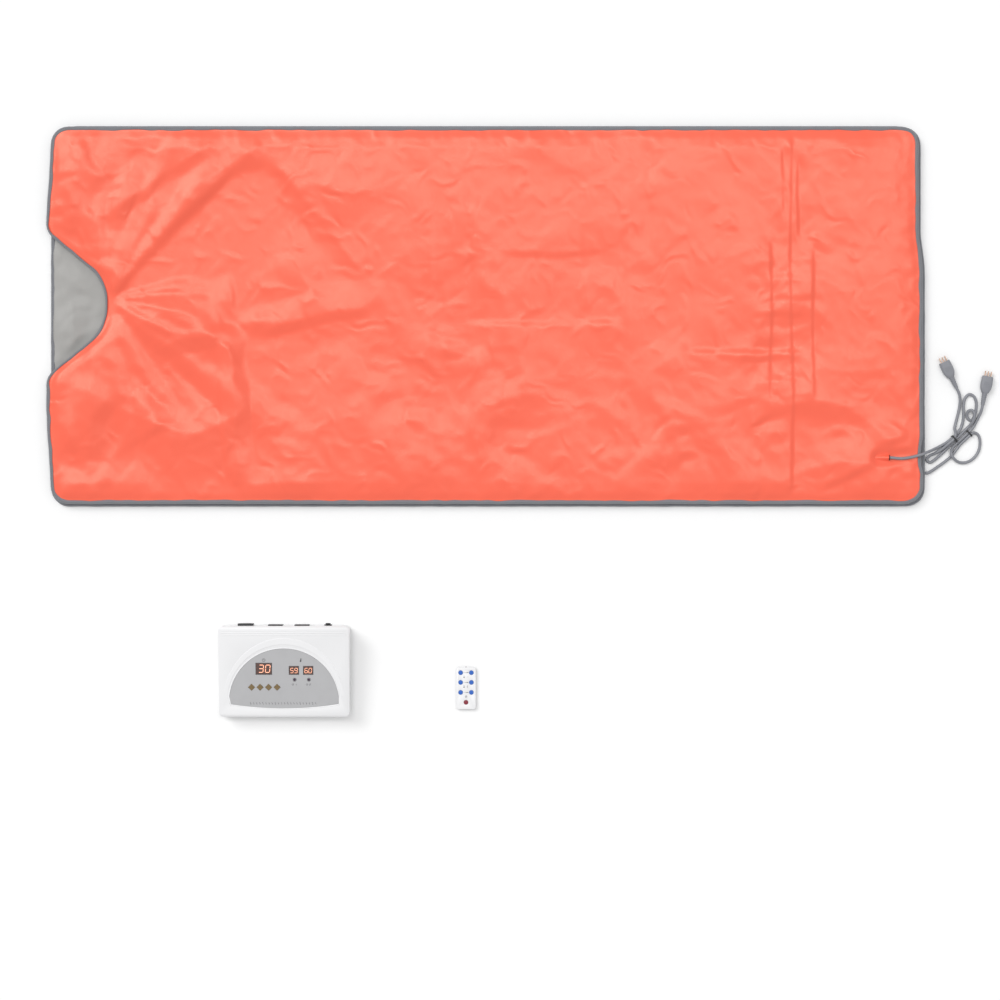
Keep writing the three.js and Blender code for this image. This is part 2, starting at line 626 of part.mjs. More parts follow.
const fuseFace = rearY + gap + 2;
place(controller, 'fuse_holder', union(
  barY(fuseFlangeRadius, rearY + gap, fuseFace, fuseX, rearPartsHeight),
  barY(fuseBodyRadius, fuseFace - fuseLength, rearY + 1, fuseX, rearPartsHeight),
).subtract(barY(fuseBoreRadius, fuseFace - fuseLength + 2, fuseFace + 1, fuseX, rearPartsHeight)), blackPlastic);
const capSlot = block(6.4, 1, 1.2, fuseX, fuseFace + gap + fuseCapHeight - 0.2, rearPartsHeight);
place(controller, 'fuse_cap', union(
  barY(fuseCapRadius, fuseFace + gap, fuseFace + gap + fuseCapHeight, fuseX, rearPartsHeight, 24),
  barY(fuseStemRadius, fuseFace - 10, fuseFace + 1, fuseX, rearPartsHeight, 16),
).subtract(capSlot), blackPlastic);

const feet = { foot_front_left: [-1, -1], foot_front_right: [1, -1], foot_rear_left: [-1, 1], foot_rear_right: [1, 1] };
for (const [name, [i, j]] of Object.entries(feet)) {
  const x = i * (caseLength / 2 - footInset);
  const y = j * (caseDepth / 2 - footInset);
  place(controller, name, barZ(footRadius, 0, footHeight - gap, x, y), rubber);
}

// ---- remote -------------------------------------------------------------------------------
const remote = new THREE.Group();
remote.position.set(remoteX, remoteY, 0);
const remoteOutline = (inset) => roundedRectangle(
  remoteWidth - 2 * inset, remoteLength - 2 * inset, remoteCorner - inset);
const endY = remoteLength / 2;
const trayZ = remoteFloor + gap;
const trayTop = trayZ + trayThickness;
const remoteBoardZ = trayTop + gap;
const remotePlateZ = remoteHeight - remotePlate;
const irLampZ = remoteFloor + gap + irLampRadius;

const rails = [-1, 1].map((i) => block(
  railWidth, 40, trayTop - remoteFloor + 0.2, i * (trayWidth / 2 + gap + railWidth / 2), -endY + 21,
  (trayTop + remoteFloor - 0.2) / 2));
place(remote, 'remote_base', union(
  prism(remoteOutline(0), 0, remoteSplit)
    .subtract(prism(remoteOutline(remoteWall), remoteFloor, remoteSplit + 1)),
  ...rails,
).subtract(block(trayWidth + 2 * gap, 8, trayThickness + gap, 0, -endY, trayZ + trayThickness / 2))
  .subtract(barY(irLampRadius + gap, endY - 4, endY + 2, 0, irLampZ, 16)), caseWhite);

const remoteKeys = { power_key: [0, powerKeyY] };
remoteKeyRows.forEach((y, i) => {
  remoteKeys[`remote_key_left_${i + 1}`] = [-remoteKeyX, y];
  remoteKeys[`remote_key_right_${i + 1}`] = [remoteKeyX, y];
});
const keyHoles = union(...Object.values(remoteKeys).map(([x, y]) =>
  barZ(remoteKeyRadius + gap, 0, 20, x, y)));
place(remote, 'remote_top', prism(remoteOutline(0), remoteSplit + gap, remoteHeight)
  .subtract(prism(remoteOutline(remoteWall), remoteSplit - 1, remotePlateZ))
  .subtract(keyHoles), caseWhite);
for (const [name, [x, y]] of Object.entries(remoteKeys)) {
  const low = remoteBoardZ + remoteBoardThickness + gap + remoteKeyTravel;
  const material = name === 'power_key' ? keyRed : keyBlue;
  place(remote, name, barZ(remoteKeyRadius, low, remoteHeight + remoteKeyProud, x, y), material);
}
place(remote, 'remote_board',
  prism(roundedRectangle(remoteWidth - 4, remoteLength - 18, 3), remoteBoardZ,
    remoteBoardZ + remoteBoardThickness), boardGreen);
place(remote, 'ir_lamp', barY(irLampRadius, endY - 7.5, endY + 0.8, 0, irLampZ, 16), lampDark);

// The coin cell lies in a round pocket of the tray, which slides out of the remote's end.
const batteryY = -endY + trayLength / 2 + 1.5;
place(remote, 'battery_tray',
  block(trayWidth, trayLength, trayThickness, 0, -endY + trayLength / 2, trayZ + trayThickness / 2)
    .subtract(barZ(batteryRadius + gap, trayTop - batteryThickness - gap, trayTop + 1, 0, batteryY, 24)),
  caseWhite);
place(remote, 'battery', barZ(
  batteryRadius, trayTop - batteryThickness, trayTop, 0, batteryY, 24), steel);

const saunaSet = new THREE.Group();
saunaSet.add(blanket, controller, remote);

export default saunaSet;
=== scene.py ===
import json
import math

import bmesh
import bpy
import numpy as np
from mathutils import Matrix, Vector, noise


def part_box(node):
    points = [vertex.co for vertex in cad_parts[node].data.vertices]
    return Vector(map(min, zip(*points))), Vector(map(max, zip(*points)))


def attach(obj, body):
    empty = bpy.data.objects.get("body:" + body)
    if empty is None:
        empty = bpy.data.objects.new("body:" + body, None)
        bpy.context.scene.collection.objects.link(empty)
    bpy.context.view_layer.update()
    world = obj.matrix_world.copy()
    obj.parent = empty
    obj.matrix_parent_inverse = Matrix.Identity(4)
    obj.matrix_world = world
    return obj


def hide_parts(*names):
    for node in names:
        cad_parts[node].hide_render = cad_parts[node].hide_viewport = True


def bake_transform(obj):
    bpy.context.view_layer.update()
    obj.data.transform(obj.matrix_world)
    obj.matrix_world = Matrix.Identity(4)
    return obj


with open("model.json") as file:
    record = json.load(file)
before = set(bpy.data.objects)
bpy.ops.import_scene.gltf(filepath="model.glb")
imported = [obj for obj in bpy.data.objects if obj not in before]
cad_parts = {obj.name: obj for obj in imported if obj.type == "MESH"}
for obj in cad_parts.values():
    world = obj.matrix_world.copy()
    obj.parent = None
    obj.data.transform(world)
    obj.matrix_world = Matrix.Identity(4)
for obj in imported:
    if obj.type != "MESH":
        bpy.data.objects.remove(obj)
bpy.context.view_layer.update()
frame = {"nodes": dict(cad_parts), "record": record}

# ---- camera ------------------------------------------------------------------------------
# Looks straight down on the set, with the blanket across the upper half of the view and the
# controller and remote below it.
view_width = 2.0525
view_centre = (0.0287, -0.3756)
lens, sensor = 100.0, 36.0
camera_data = bpy.data.cameras.new("camera")
camera_data.lens = lens
camera_data.sensor_width = sensor
camera_data.clip_end = 100.0
camera = bpy.data.objects.new("camera", camera_data)
camera.location = (*view_centre, view_width * lens / sensor)
bpy.context.scene.collection.objects.link(camera)
bpy.context.scene.camera = camera


# ---- heater cords ------------------------------------------------------------------------
# Two round PVC leads of 6 mm, one for each half of the blanket. The cover's lead lies above
# the base's wherever they cross, so that it lifts away freely when the cover is opened.
def new_material(name, color, roughness, metallic=0.0):
    material = bpy.data.materials.new(name)
    material.use_nodes = True
    shader = material.node_tree.nodes["Principled BSDF"]
    shader.inputs["Base Color"].default_value = (*color, 1.0)
    shader.inputs["Roughness"].default_value = roughness
    shader.inputs["Metallic"].default_value = metallic
    return material, shader


def add_node(tree, kind, **values):
    """A new node with the properties and inputs that are given by name."""
    node = tree.nodes.new(kind)
    for key, value in values.items():
        if hasattr(node, key):
            setattr(node, key, value)
        else:
            node.inputs[key].default_value = value
    return node


def wire(tree, out_node, out_name, in_node, in_name):
    tree.links.new(out_node.outputs[out_name], in_node.inputs[in_name])


def surface_group(name, values):
    """A node group that puts out a colour, a roughness and a normal, and its end nodes."""
    group = bpy.data.node_groups.new(name, "ShaderNodeTree")
    face = group.interface
    face.new_socket("Color", in_out="INPUT", socket_type="NodeSocketColor")
    for socket, value in values.items():
        face.new_socket(socket, in_out="INPUT", socket_type="NodeSocketFloat").default_value = value
    for socket, kind in (("Color", "NodeSocketColor"), ("Roughness", "NodeSocketFloat"),
                         ("Normal", "NodeSocketVector")):
        face.new_socket(socket, in_out="OUTPUT", socket_type=kind)
    return group, add_node(group, "NodeGroupInput"), add_node(group, "NodeGroupOutput")


def mottle(group, inside, outside, place, amount_name, scale, detail):
    """Lets the group's colour and roughness vary in broad soft patches."""
    broad = add_node(group, "ShaderNodeTexNoise", Scale=scale, Detail=detail)
    wire(group, place, "Object", broad, "Vector")
    centred = add_node(group, "ShaderNodeMath", operation="SUBTRACT")
    centred.inputs[1].default_value = 0.5
    wire(group, broad, "Fac", centred, 0)
    amount = add_node(group, "ShaderNodeMath", operation="MULTIPLY_ADD")
    amount.inputs[2].default_value = 1.0
    wire(group, centred, 0, amount, 0)
    wire(group, inside, amount_name, amount, 1)
    shade = add_node(group, "ShaderNodeVectorMath", operation="SCALE")
    wire(group, inside, "Color", shade, 0)
    wire(group, amount, 0, shade, "Scale")
    wire(group, shade, "Vector", outside, "Color")
    rough = add_node(group, "ShaderNodeMath", operation="MULTIPLY")
    wire(group, inside, "Roughness", rough, 0)
    wire(group, amount, 0, rough, 1)
    wire(group, rough, 0, outside, "Roughness")


def grain_group():
    """Fine moulded grain: a bump normal, a roughness and a slightly mottled colour."""
    group, inside, outside = surface_group(
        "moulded grain", {"Scale": 900.0, "Depth": 0.00004, "Roughness": 0.5, "Mottle": 0.06})
    place = add_node(group, "ShaderNodeTexCoord")
    fine = add_node(group, "ShaderNodeTexNoise", Detail=3.0)
    wire(group, place, "Object", fine, "Vector")
    wire(group, inside, "Scale", fine, "Scale")
    bump = add_node(group, "ShaderNodeBump")
    wire(group, fine, "Fac", bump, "Height")
    wire(group, inside, "Depth", bump, "Distance")
    wire(group, bump, "Normal", outside, "Normal")
    mottle(group, inside, outside, place, "Mottle", 45.0, 4.0)
    return group


moulded_grain = grain_group()


def coat(material, shader, group, values):
    """Places a surface group in a material with its own values."""
    tree = material.node_tree
    surface = add_node(tree, "ShaderNodeGroup", node_tree=group)
    for socket, value in values.items():
        surface.inputs[socket].default_value = value
    for socket, target in (("Color", "Base Color"), ("Roughness", "Roughness"), ("Normal", "Normal")):
        wire(tree, surface, socket, shader, target)


def moulded(name, color, roughness, metallic=0.0, scale=900.0, depth=0.00004, mottling=0.06):
    material, shader = new_material(name, color, roughness, metallic)
    coat(material, shader, moulded_grain, {"Color": (*color, 1.0), "Roughness": roughness,
                                           "Scale": scale, "Depth": depth, "Mottle": mottling})
    return material


def finish_piece(piece, body, material, replaces=()):
    """Gives a piece its material and body, and hides the CAD solids that it stands for."""
    piece.data.materials.clear()
    piece.data.materials.append(material)
    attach(piece, body)
    if replaces:
        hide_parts(*replaces)
    return piece


cord_diameter = 0.006
base_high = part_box("base_lining")[1]
blanket_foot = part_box("base_binding")[1][0]
eyelet_low, eyelet_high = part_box("cover_cord_grommet")
touch = 0.0003
cover_cord_exit = (eyelet_high[0] + touch, (eyelet_low[1] + eyelet_high[1]) / 2, 0.0247)
base_cord_exit = (blanket_foot + touch, -0.320, base_high[2] / 2)
cover_cord_route = [
    cover_cord_exit, (0.832, -0.2893, 0.0246), (0.840, -0.2903, 0.0244), (0.853, -0.2905, 0.0242),
    (0.870, -0.288, 0.0242), (0.890, -0.2825, 0.0244), (0.901, -0.2784, 0.0223),
    (0.913, -0.2736, 0.0145), (0.925, -0.2685, 0.0056), (0.942, -0.2595, 0.0042),
    (0.9576, -0.2473, 0.0048), (0.967, -0.238, 0.0044), (0.9745, -0.227, 0.0032),
    (0.9784, -0.213, 0.0032), (0.9796, -0.198, 0.0032), (0.9795, -0.181, 0.0032),
    (0.983, -0.1665, 0.0032), (0.9915, -0.159, 0.0032), (1.0005, -0.163, 0.0032),
    (1.0053, -0.174, 0.0032), (1.0053, -0.189, 0.0032), (1.002, -0.203, 0.0032),
    (0.996, -0.212, 0.0032), (0.989, -0.2095, 0.0034), (0.9863, -0.201, 0.0044),
    (0.989, -0.1935, 0.007), (0.9955, -0.1915, 0.0094), (1.0003, -0.197, 0.0102),
    (1.0005, -0.2065, 0.010), (0.997, -0.216, 0.0085), (0.991, -0.224, 0.0046),
    (0.983, -0.232, 0.0032), (0.972, -0.243, 0.0044), (0.962, -0.252, 0.0048),
    (0.950, -0.265, 0.0042), (0.937, -0.2785, 0.0032), (0.922, -0.2915, 0.0032),
    (0.9105, -0.2985, 0.0032), (0.9038, -0.293, 0.0032), (0.9095, -0.285, 0.0032),
    (0.923, -0.279, 0.0034), (0.936, -0.2705, 0.0066), (0.948, -0.260, 0.0104),
    (0.9593, -0.2495, 0.011), (0.962, -0.240, 0.0107), (0.961, -0.229, 0.0048),
    (0.9645, -0.214, 0.0032), (0.9685, -0.198, 0.0032), (0.9714, -0.184, 0.0034),
    (0.9722, -0.169, 0.0054), (0.9696, -0.157, 0.0075), (0.9646, -0.1465, 0.0078),
]
base_cord_route = [
    base_cord_exit, (0.906, -0.320, 0.0044), (0.914, -0.316, 0.0036), (0.925, -0.3085, 0.0032),
    (0.938, -0.2995, 0.0032), (0.952, -0.288, 0.0032), (0.9635, -0.274, 0.0032),
    (0.9725, -0.262, 0.0032), (0.9825, -0.2525, 0.0042), (0.9938, -0.2416, 0.0048),
    (1.0005, -0.2376, 0.0042), (1.008, -0.2405, 0.0032), (1.0125, -0.250, 0.0032),
    (1.013, -0.264, 0.0032), (1.0085, -0.279, 0.0032), (0.999, -0.291, 0.0032),
    (0.985, -0.2985, 0.0032), (0.970, -0.298, 0.0048), (0.9585, -0.2905, 0.0097),
    (0.953, -0.2805, 0.010), (0.957, -0.2685, 0.0046), (0.9676, -0.2578, 0.0032),
    (0.978, -0.2482, 0.0042), (0.9892, -0.2372, 0.0048), (0.9985, -0.227, 0.0042),
    (1.006, -0.214, 0.0032), (1.012, -0.2015, 0.0046), (1.0158, -0.191, 0.0075),
    (1.0176, -0.1812, 0.0078),
]


def smooth_route(route, parts=6):
    """A centripetal Catmull-Rom curve through the route's points."""
    points = [Vector(p) for p in route]
    points = [2 * points[0] - points[1], *points, 2 * points[-1] - points[-2]]
    curve = []
    for p0, p1, p2, p3 in zip(points, points[1:], points[2:], points[3:]):
        k1, k2, k3 = ((b - a).length ** 0.5 for a, b in ((p0, p1), (p1, p2), (p2, p3)))
        t1, t2, t3 = k1, k1 + k2, k1 + k2 + k3
        for step in range(parts):
            t = t1 + (t2 - t1) * step / parts
            a1 = p0.lerp(p1, t / t1)
            a2 = p1.lerp(p2, (t - t1) / (t2 - t1))
            a3 = p2.lerp(p3, (t - t2) / (t3 - t2))
            b1 = a1.lerp(a2, t / t2)
            b2 = a2.lerp(a3, (t - t1) / (t3 - t1))
            curve.append(b1.lerp(b2, (t - t1) / (t2 - t1)))
    return [*curve, points[-2]]


def lead(name, route):
    points = smooth_route(route)
    data = bpy.data.curves.new(name, "CURVE")
    data.dimensions = "3D"
    data.bevel_depth = cord_diameter / 2
    data.bevel_resolution = 5
    data.use_fill_caps = True
    spline = data.splines.new("POLY")
    spline.points.add(len(points) - 1)
    for target, point in zip(spline.points, points):
        target.co = (*point, 1.0)
    piece = bpy.data.objects.new(name, data)
    bpy.context.scene.collection.objects.link(piece)
    return piece


cord_grey = (0.235, 0.240, 0.265)
cord_material = moulded("cord PVC", cord_grey, 0.30, scale=700.0, depth=0.00002)
cover_lead = finish_piece(lead("cover_lead", cover_cord_route), "cover",
                          cord_material, ["cover_cord"])
base_lead = finish_piece(lead("base_lead", base_cord_route), "base",
                         cord_material, ["base_cord"])


# ---- blanket outlines --------------------------------------------------------------------
# Base and cover are two quilted panels with rounded corners. The cover's head edge is cut
# back round the neck in a notch with a round mouth, straight flanks and a round bottom.
def skin(columns, rows, place, double=1e-6):
    """A sheet of quads whose points are placed by a function of (u, v), each from 0 to 1."""
    shape = bmesh.new()
    bmesh.ops.create_grid(shape, x_segments=columns, y_segments=rows, size=0.5)
    flat = np.array([vert.co[:2] for vert in shape.verts]) + 0.5
    for vert, spot in zip(shape.verts, place(flat[:, 0], flat[:, 1])):
        vert.co = spot
    if double:
        bmesh.ops.remove_doubles(shape, verts=shape.verts[:], dist=double)
    bmesh.ops.recalc_face_normals(shape, faces=shape.faces[:])
    return shape


def face_up(shape, up=1.0):
    if sum(face.normal.z * face.calc_area() for face in shape.faces) * up < 0:
        bmesh.ops.reverse_faces(shape, faces=shape.faces[:])
    return shape


def make_piece(name, shape, sharp=None):
    """A new object from a bmesh, smooth all over or smooth up to an angle in degrees."""
    data = bpy.data.meshes.new(name)
    shape.to_mesh(data)
    shape.free()
    data.shade_smooth()
    if sharp:
        data.set_sharp_from_angle(angle=math.radians(sharp))
    piece = bpy.data.objects.new(name, data)
    bpy.context.scene.collection.objects.link(piece)
    return piece


corner_radius = 0.038
notch_y, notch_depth, notch_bottom, notch_mouth = 0.025, 0.122, 0.100, 0.040
flank = math.radians(50.8)
flank_x, flank_y = math.cos(flank), math.sin(flank)
notch_middle = notch_depth - notch_bottom  # the round bottom's centre, from the head edge
notch_reach = flank_x * notch_middle + notch_bottom
mouth_offset = (notch_reach + notch_mouth - flank_x * notch_mouth) / flank_y

# Slack cloth creeps by these lengths where an end isn't held by a seam across it.
end_reach = 0.12
back_start, back_run = 0.09, 0.09
corner_start, corner_run = 0.17, 0.20
head_corner_creep, cover_foot_creep, base_foot_creep = 0.009, 0.0045, 0.0085
cord_over_edge, cord_hold = -0.284, 0.030  # where the cord crosses the foot edge and holds it


def eased(share):
    """A share from 0 to 1 that starts and stops softly."""
    return share * share * (3 - 2 * share)


class Panel:
    """The outline of one half of the blanket, from the box of its binding in the frame."""
    def __init__(self, node, notch):
        low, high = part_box(node)
        self.x0, self.y0, self.low = low
        self.x1, self.y1, self.high = high
        self.notch = notch
        # Every inset takes its fractions from the outer edge, so that rings line up.
        steps = np.hypot(*np.diff(self.edge_points(0.0), axis=0).T)
        self.marks = np.concatenate([[0], np.cumsum(steps)]) / steps.sum()

    def corner(self, y, inset):
        """How far a rounded corner cuts back the ends at y."""
        r = corner_radius - min(inset, corner_radius - 0.004)
        depth = np.maximum(self.y0 + inset + r - y, y - (self.y1 - inset - r))
        depth = np.clip(depth, 0.0, r)
        return r - np.sqrt(r * r - depth * depth)

    def neck(self, y, inset):
        """How far the neck notch cuts back the head end at y."""
        if not self.notch:
            return np.zeros_like(y)
        bottom, mouth = notch_bottom + inset, notch_mouth - inset
        d = np.abs(y - notch_y)
        round_bottom = notch_middle + np.sqrt(np.maximum(bottom ** 2 - d ** 2, 0))
        straight = (flank_x * notch_middle + bottom - flank_y * d) / flank_x
        round_mouth = notch_mouth - np.sqrt(np.maximum(mouth ** 2 - (mouth_offset - d) ** 2, 0))
        depth = np.where(d < flank_y * bottom, round_bottom, straight)
        depth = np.where(d > mouth_offset - flank_y * mouth, round_mouth, depth)
        return np.where(d > mouth_offset, inset, depth) - inset

    def left(self, y, inset=0.0):
        return self.x0 + inset + np.maximum(self.corner(y, inset), self.neck(y, inset))

    def right(self, y, inset=0.0):
        return self.x1 - inset - self.corner(y, inset)

    def pulled(self, x, y):
        """Draws the head corners in and lets the foot edge creep, out in front and in at the back."""
        head = np.clip((self.x0 + end_reach - x) / end_reach, 0, 1)
        foot = np.clip((x - self.x1 + end_reach) / end_reach, 0, 1)
        back = eased(np.clip((y - back_start) / back_run, 0, 1))
        if not self.notch:
            return x - base_foot_creep * foot * back
        corner = eased(np.clip((np.abs(y) - corner_start) / corner_run, 0, 1))
        under_cord = np.exp(-((y - cord_over_edge) / cord_hold) ** 4)
        return (x + head_corner_creep * head * corner
                + cover_foot_creep * foot * ((1 - back) * (1 - under_cord) - back))

    def spread(self, u, v, inset):
        y = self.y0 + inset + v * (self.y1 - self.y0 - 2 * inset)
        left, right = self.left(y, inset), self.right(y, inset)
        x = left + u * (right - left)
        return self.pulled(x, y), y

    def edge_distance(self, x, y):
        return np.minimum.reduce([y - self.y0, self.y1 - y, x - self.pulled(self.left(y), y),
                                  self.pulled(self.right(y), y) - x])

    def edge_points(self, inset):
        """The panel's edge as a closed ring of points, drawn inside by an inset."""
        r = corner_radius - min(inset, corner_radius - 0.004)
        x0, x1, y0, y1 = self.x0 + inset, self.x1 - inset, self.y0 + inset, self.y1 - inset
        arc = np.linspace(0, math.pi / 2, 13)
        points = []
        for cx, cy, turn in ((x1 - r, y0 + r, -1), (x1 - r, y1 - r, 0), (x0 + r, y1 - r, 1)):
            points += [(cx + r * math.cos(a + turn * math.pi / 2),
                        cy + r * math.sin(a + turn * math.pi / 2)) for a in arc]
        if self.notch:
            mouth, bottom = notch_mouth - inset, notch_bottom + inset
            turns = np.linspace(0, flank, 13)
            points += [(self.x0 + notch_mouth - mouth * math.cos(a),
                        notch_y + mouth_offset - mouth * math.sin(a)) for a in turns]
            points += [(self.x0 + notch_middle + bottom * math.cos(a),
                        notch_y + bottom * math.sin(a)) for a in np.linspace(flank, -flank, 31)]
            points += [(self.x0 + notch_mouth - mouth * math.cos(a),
                        notch_y - mouth_offset + mouth * math.sin(a)) for a in turns[::-1]]
        points += [(x0 + r - r * math.cos(a), y0 + r - r * math.sin(a)) for a in arc]
        return np.array([*points, points[0]])

    def outline(self, t, inset):
        """The panel's edge as a closed curve, t from 0 to 1, drawn inside by an inset."""
        points = self.edge_points(inset)
        x, y = np.interp(t, self.marks, points[:, 0]), np.interp(t, self.marks, points[:, 1])
        return self.pulled(x, y), y


base_panel = Panel("base_binding", notch=False)
cover_panel = Panel("cover_binding", notch=True)


# ---- cloth ------------------------------------------------------------------------------
# The outer shells are a coated satin nylon, the linings a plain waterproof cloth and the edge
# bindings a ribbed polyester tape. All three are woven, each at its own scale.
def weave_group():
    """Woven threads with a slight slub: a normal, a colour that varies and a roughness."""
    group, inside, outside = surface_group(
        "woven cloth", {"Threads": 1400.0, "Depth": 0.00005, "Crumple": 0.001,
                        "Crumple Scale": 30.0, "Variation": 0.1, "Roughness": 0.5})
    place = add_node(group, "ShaderNodeTexCoord")
    threads = add_node(group, "ShaderNodeMath", operation="MAXIMUM")
    for socket, direction in enumerate(("X", "Y")):
        band = add_node(group, "ShaderNodeTexWave", wave_type="BANDS", bands_direction=direction,
                        Distortion=1.5)
        wire(group, place, "Object", band, "Vector")
        wire(group, inside, "Threads", band, "Scale")
        wire(group, band, "Fac", threads, socket)
    weave = add_node(group, "ShaderNodeBump")
    wire(group, threads, 0, weave, "Height")
    wire(group, inside, "Depth", weave, "Distance")
    crease = add_node(group, "ShaderNodeTexNoise", noise_type="RIDGED_MULTIFRACTAL", Detail=6.0,
                      Roughness=0.62, Distortion=0.7)
    wire(group, place, "Object", crease, "Vector")
    wire(group, inside, "Crumple Scale", crease, "Scale")
    crumple = add_node(group, "ShaderNodeBump")
    wire(group, crease, "Fac", crumple, "Height")
    wire(group, inside, "Crumple", crumple, "Distance")
    wire(group, weave, "Normal", crumple, "Normal")
    wire(group, crumple, "Normal", outside, "Normal")
    mottle(group, inside, outside, place, "Variation", 9.0, 5.0)
    return group


woven_cloth = weave_group()


def cloth(name, color, roughness, sheen, threads, depth, crumple, crumple_scale, variation):
    material, shader = new_material(name, color, roughness)
    coat(material, shader, woven_cloth, {
        "Color": (*color, 1.0), "Roughness": roughness, "Threads": threads, "Depth": depth,
        "Crumple": crumple, "Crumple Scale": crumple_scale, "Variation": variation})
    shader.inputs["Sheen Weight"].default_value = sheen
    shader.inputs["Sheen Roughness"].default_value = 0.4
    return material


satin = cloth("coral satin", (0.955, 0.134, 0.077), 0.30, sheen=0.05, threads=1500.0,
              depth=0.00002, crumple=0.0022, crumple_scale=21.0, variation=0.06)
satin_shader = satin.node_tree.nodes["Principled BSDF"]
satin_shader.inputs["Specular IOR Level"].default_value = 0.75
satin_shader.inputs["Specular Tint"].default_value = (1.0, 0.82, 0.66, 1.0)
lining_cloth = cloth("grey lining", (0.372, 0.364, 0.350), 0.50, sheen=0.08, threads=1100.0,
                     depth=0.00004, crumple=0.0022, crumple_scale=20.0, variation=0.08)
tape_cloth = cloth("binding tape", (0.235, 0.240, 0.262), 0.75, sheen=0.25, threads=700.0,
                   depth=0.0002, crumple=0.0002, crumple_scale=90.0, variation=0.14)


# The relief is added up in metres from long waves, pleats and creases laid where the
# quilting pulls, and a fine crumple that is strongest near them.
def waves(x, y, size, seed, ridged=False):
    """Smooth noise, or noise folded into sharp creases, about as long as its size."""
    value = np.array([noise.noise(Vector((a / size, b / size, seed))) for a, b in zip(x, y)])
    return 0.35 - np.abs(value) if ridged else value


def facets(x, y, size, folds, seed):
    """Noise folded back on itself, so that it lies in slopes that meet at sharp creases."""
    value = folds * waves(x, y, size, seed) + 0.5
    return np.abs(np.mod(value, 2.0) - 1.0) - 0.5


def fold_line(x, y, route, width, height, step=0.0, ends=0.04, flare=0.0):
    """A crease along a route: a rounded ridge or valley, with one side standing higher."""
    relief = np.zeros_like(x)
    nearest = np.full_like(x, 1e9)
    route = np.array(route, dtype=float)
    lengths = np.hypot(*np.diff(route, axis=0).T)
    whole, run = lengths.sum(), 0.0
    for (ax, ay), (bx, by), length in zip(route, route[1:], lengths):
        tx, ty = (bx - ax) / length, (by - ay) / length
        along = np.clip((x - ax) * tx + (y - ay) * ty, 0, length)
        dx, dy = x - ax - along * tx, y - ay - along * ty
        far = np.hypot(dx, dy)
        side = np.sign(tx * dy - ty * dx) * far
        place = run + along
        fade = np.clip(np.minimum(place, whole - place) / ends, 0, 1) ** 0.7
        wide = width * (1 + flare * (2 * place / whole - 1))
        value = fade * (height * np.exp(-np.abs(far / wide) ** 1.4)
                        + step * np.clip(side / wide, -1, 1) * np.exp(-(far / (8 * wide)) ** 2))
        closer = far < nearest
        relief = np.where(closer, value, relief)
        nearest = np.minimum(nearest, far)
        run += length
    return relief


def patch(x, y, cx, cy, rx, ry):
    return np.exp(-((x - cx) / rx) ** 2 - ((y - cy) / ry) ** 2)


# ---- cover shell -------------------------------------------------------------------------
# The coral cloth on top of the cover. It is quilted slackly over the felt and held only at the
# bound edge, so it lies in shallow facets with sharp creases between them.
cover_foot = cover_panel.x1
neck_bottom = cover_panel.x0 + notch_depth
grommet = ((eyelet_low[0] + eyelet_high[0]) / 2, (eyelet_low[1] + eyelet_high[1]) / 2)
fabric = 0.0008
edge_tuck = 0.00095  # how far the cloth's edge dips to pass under the tape


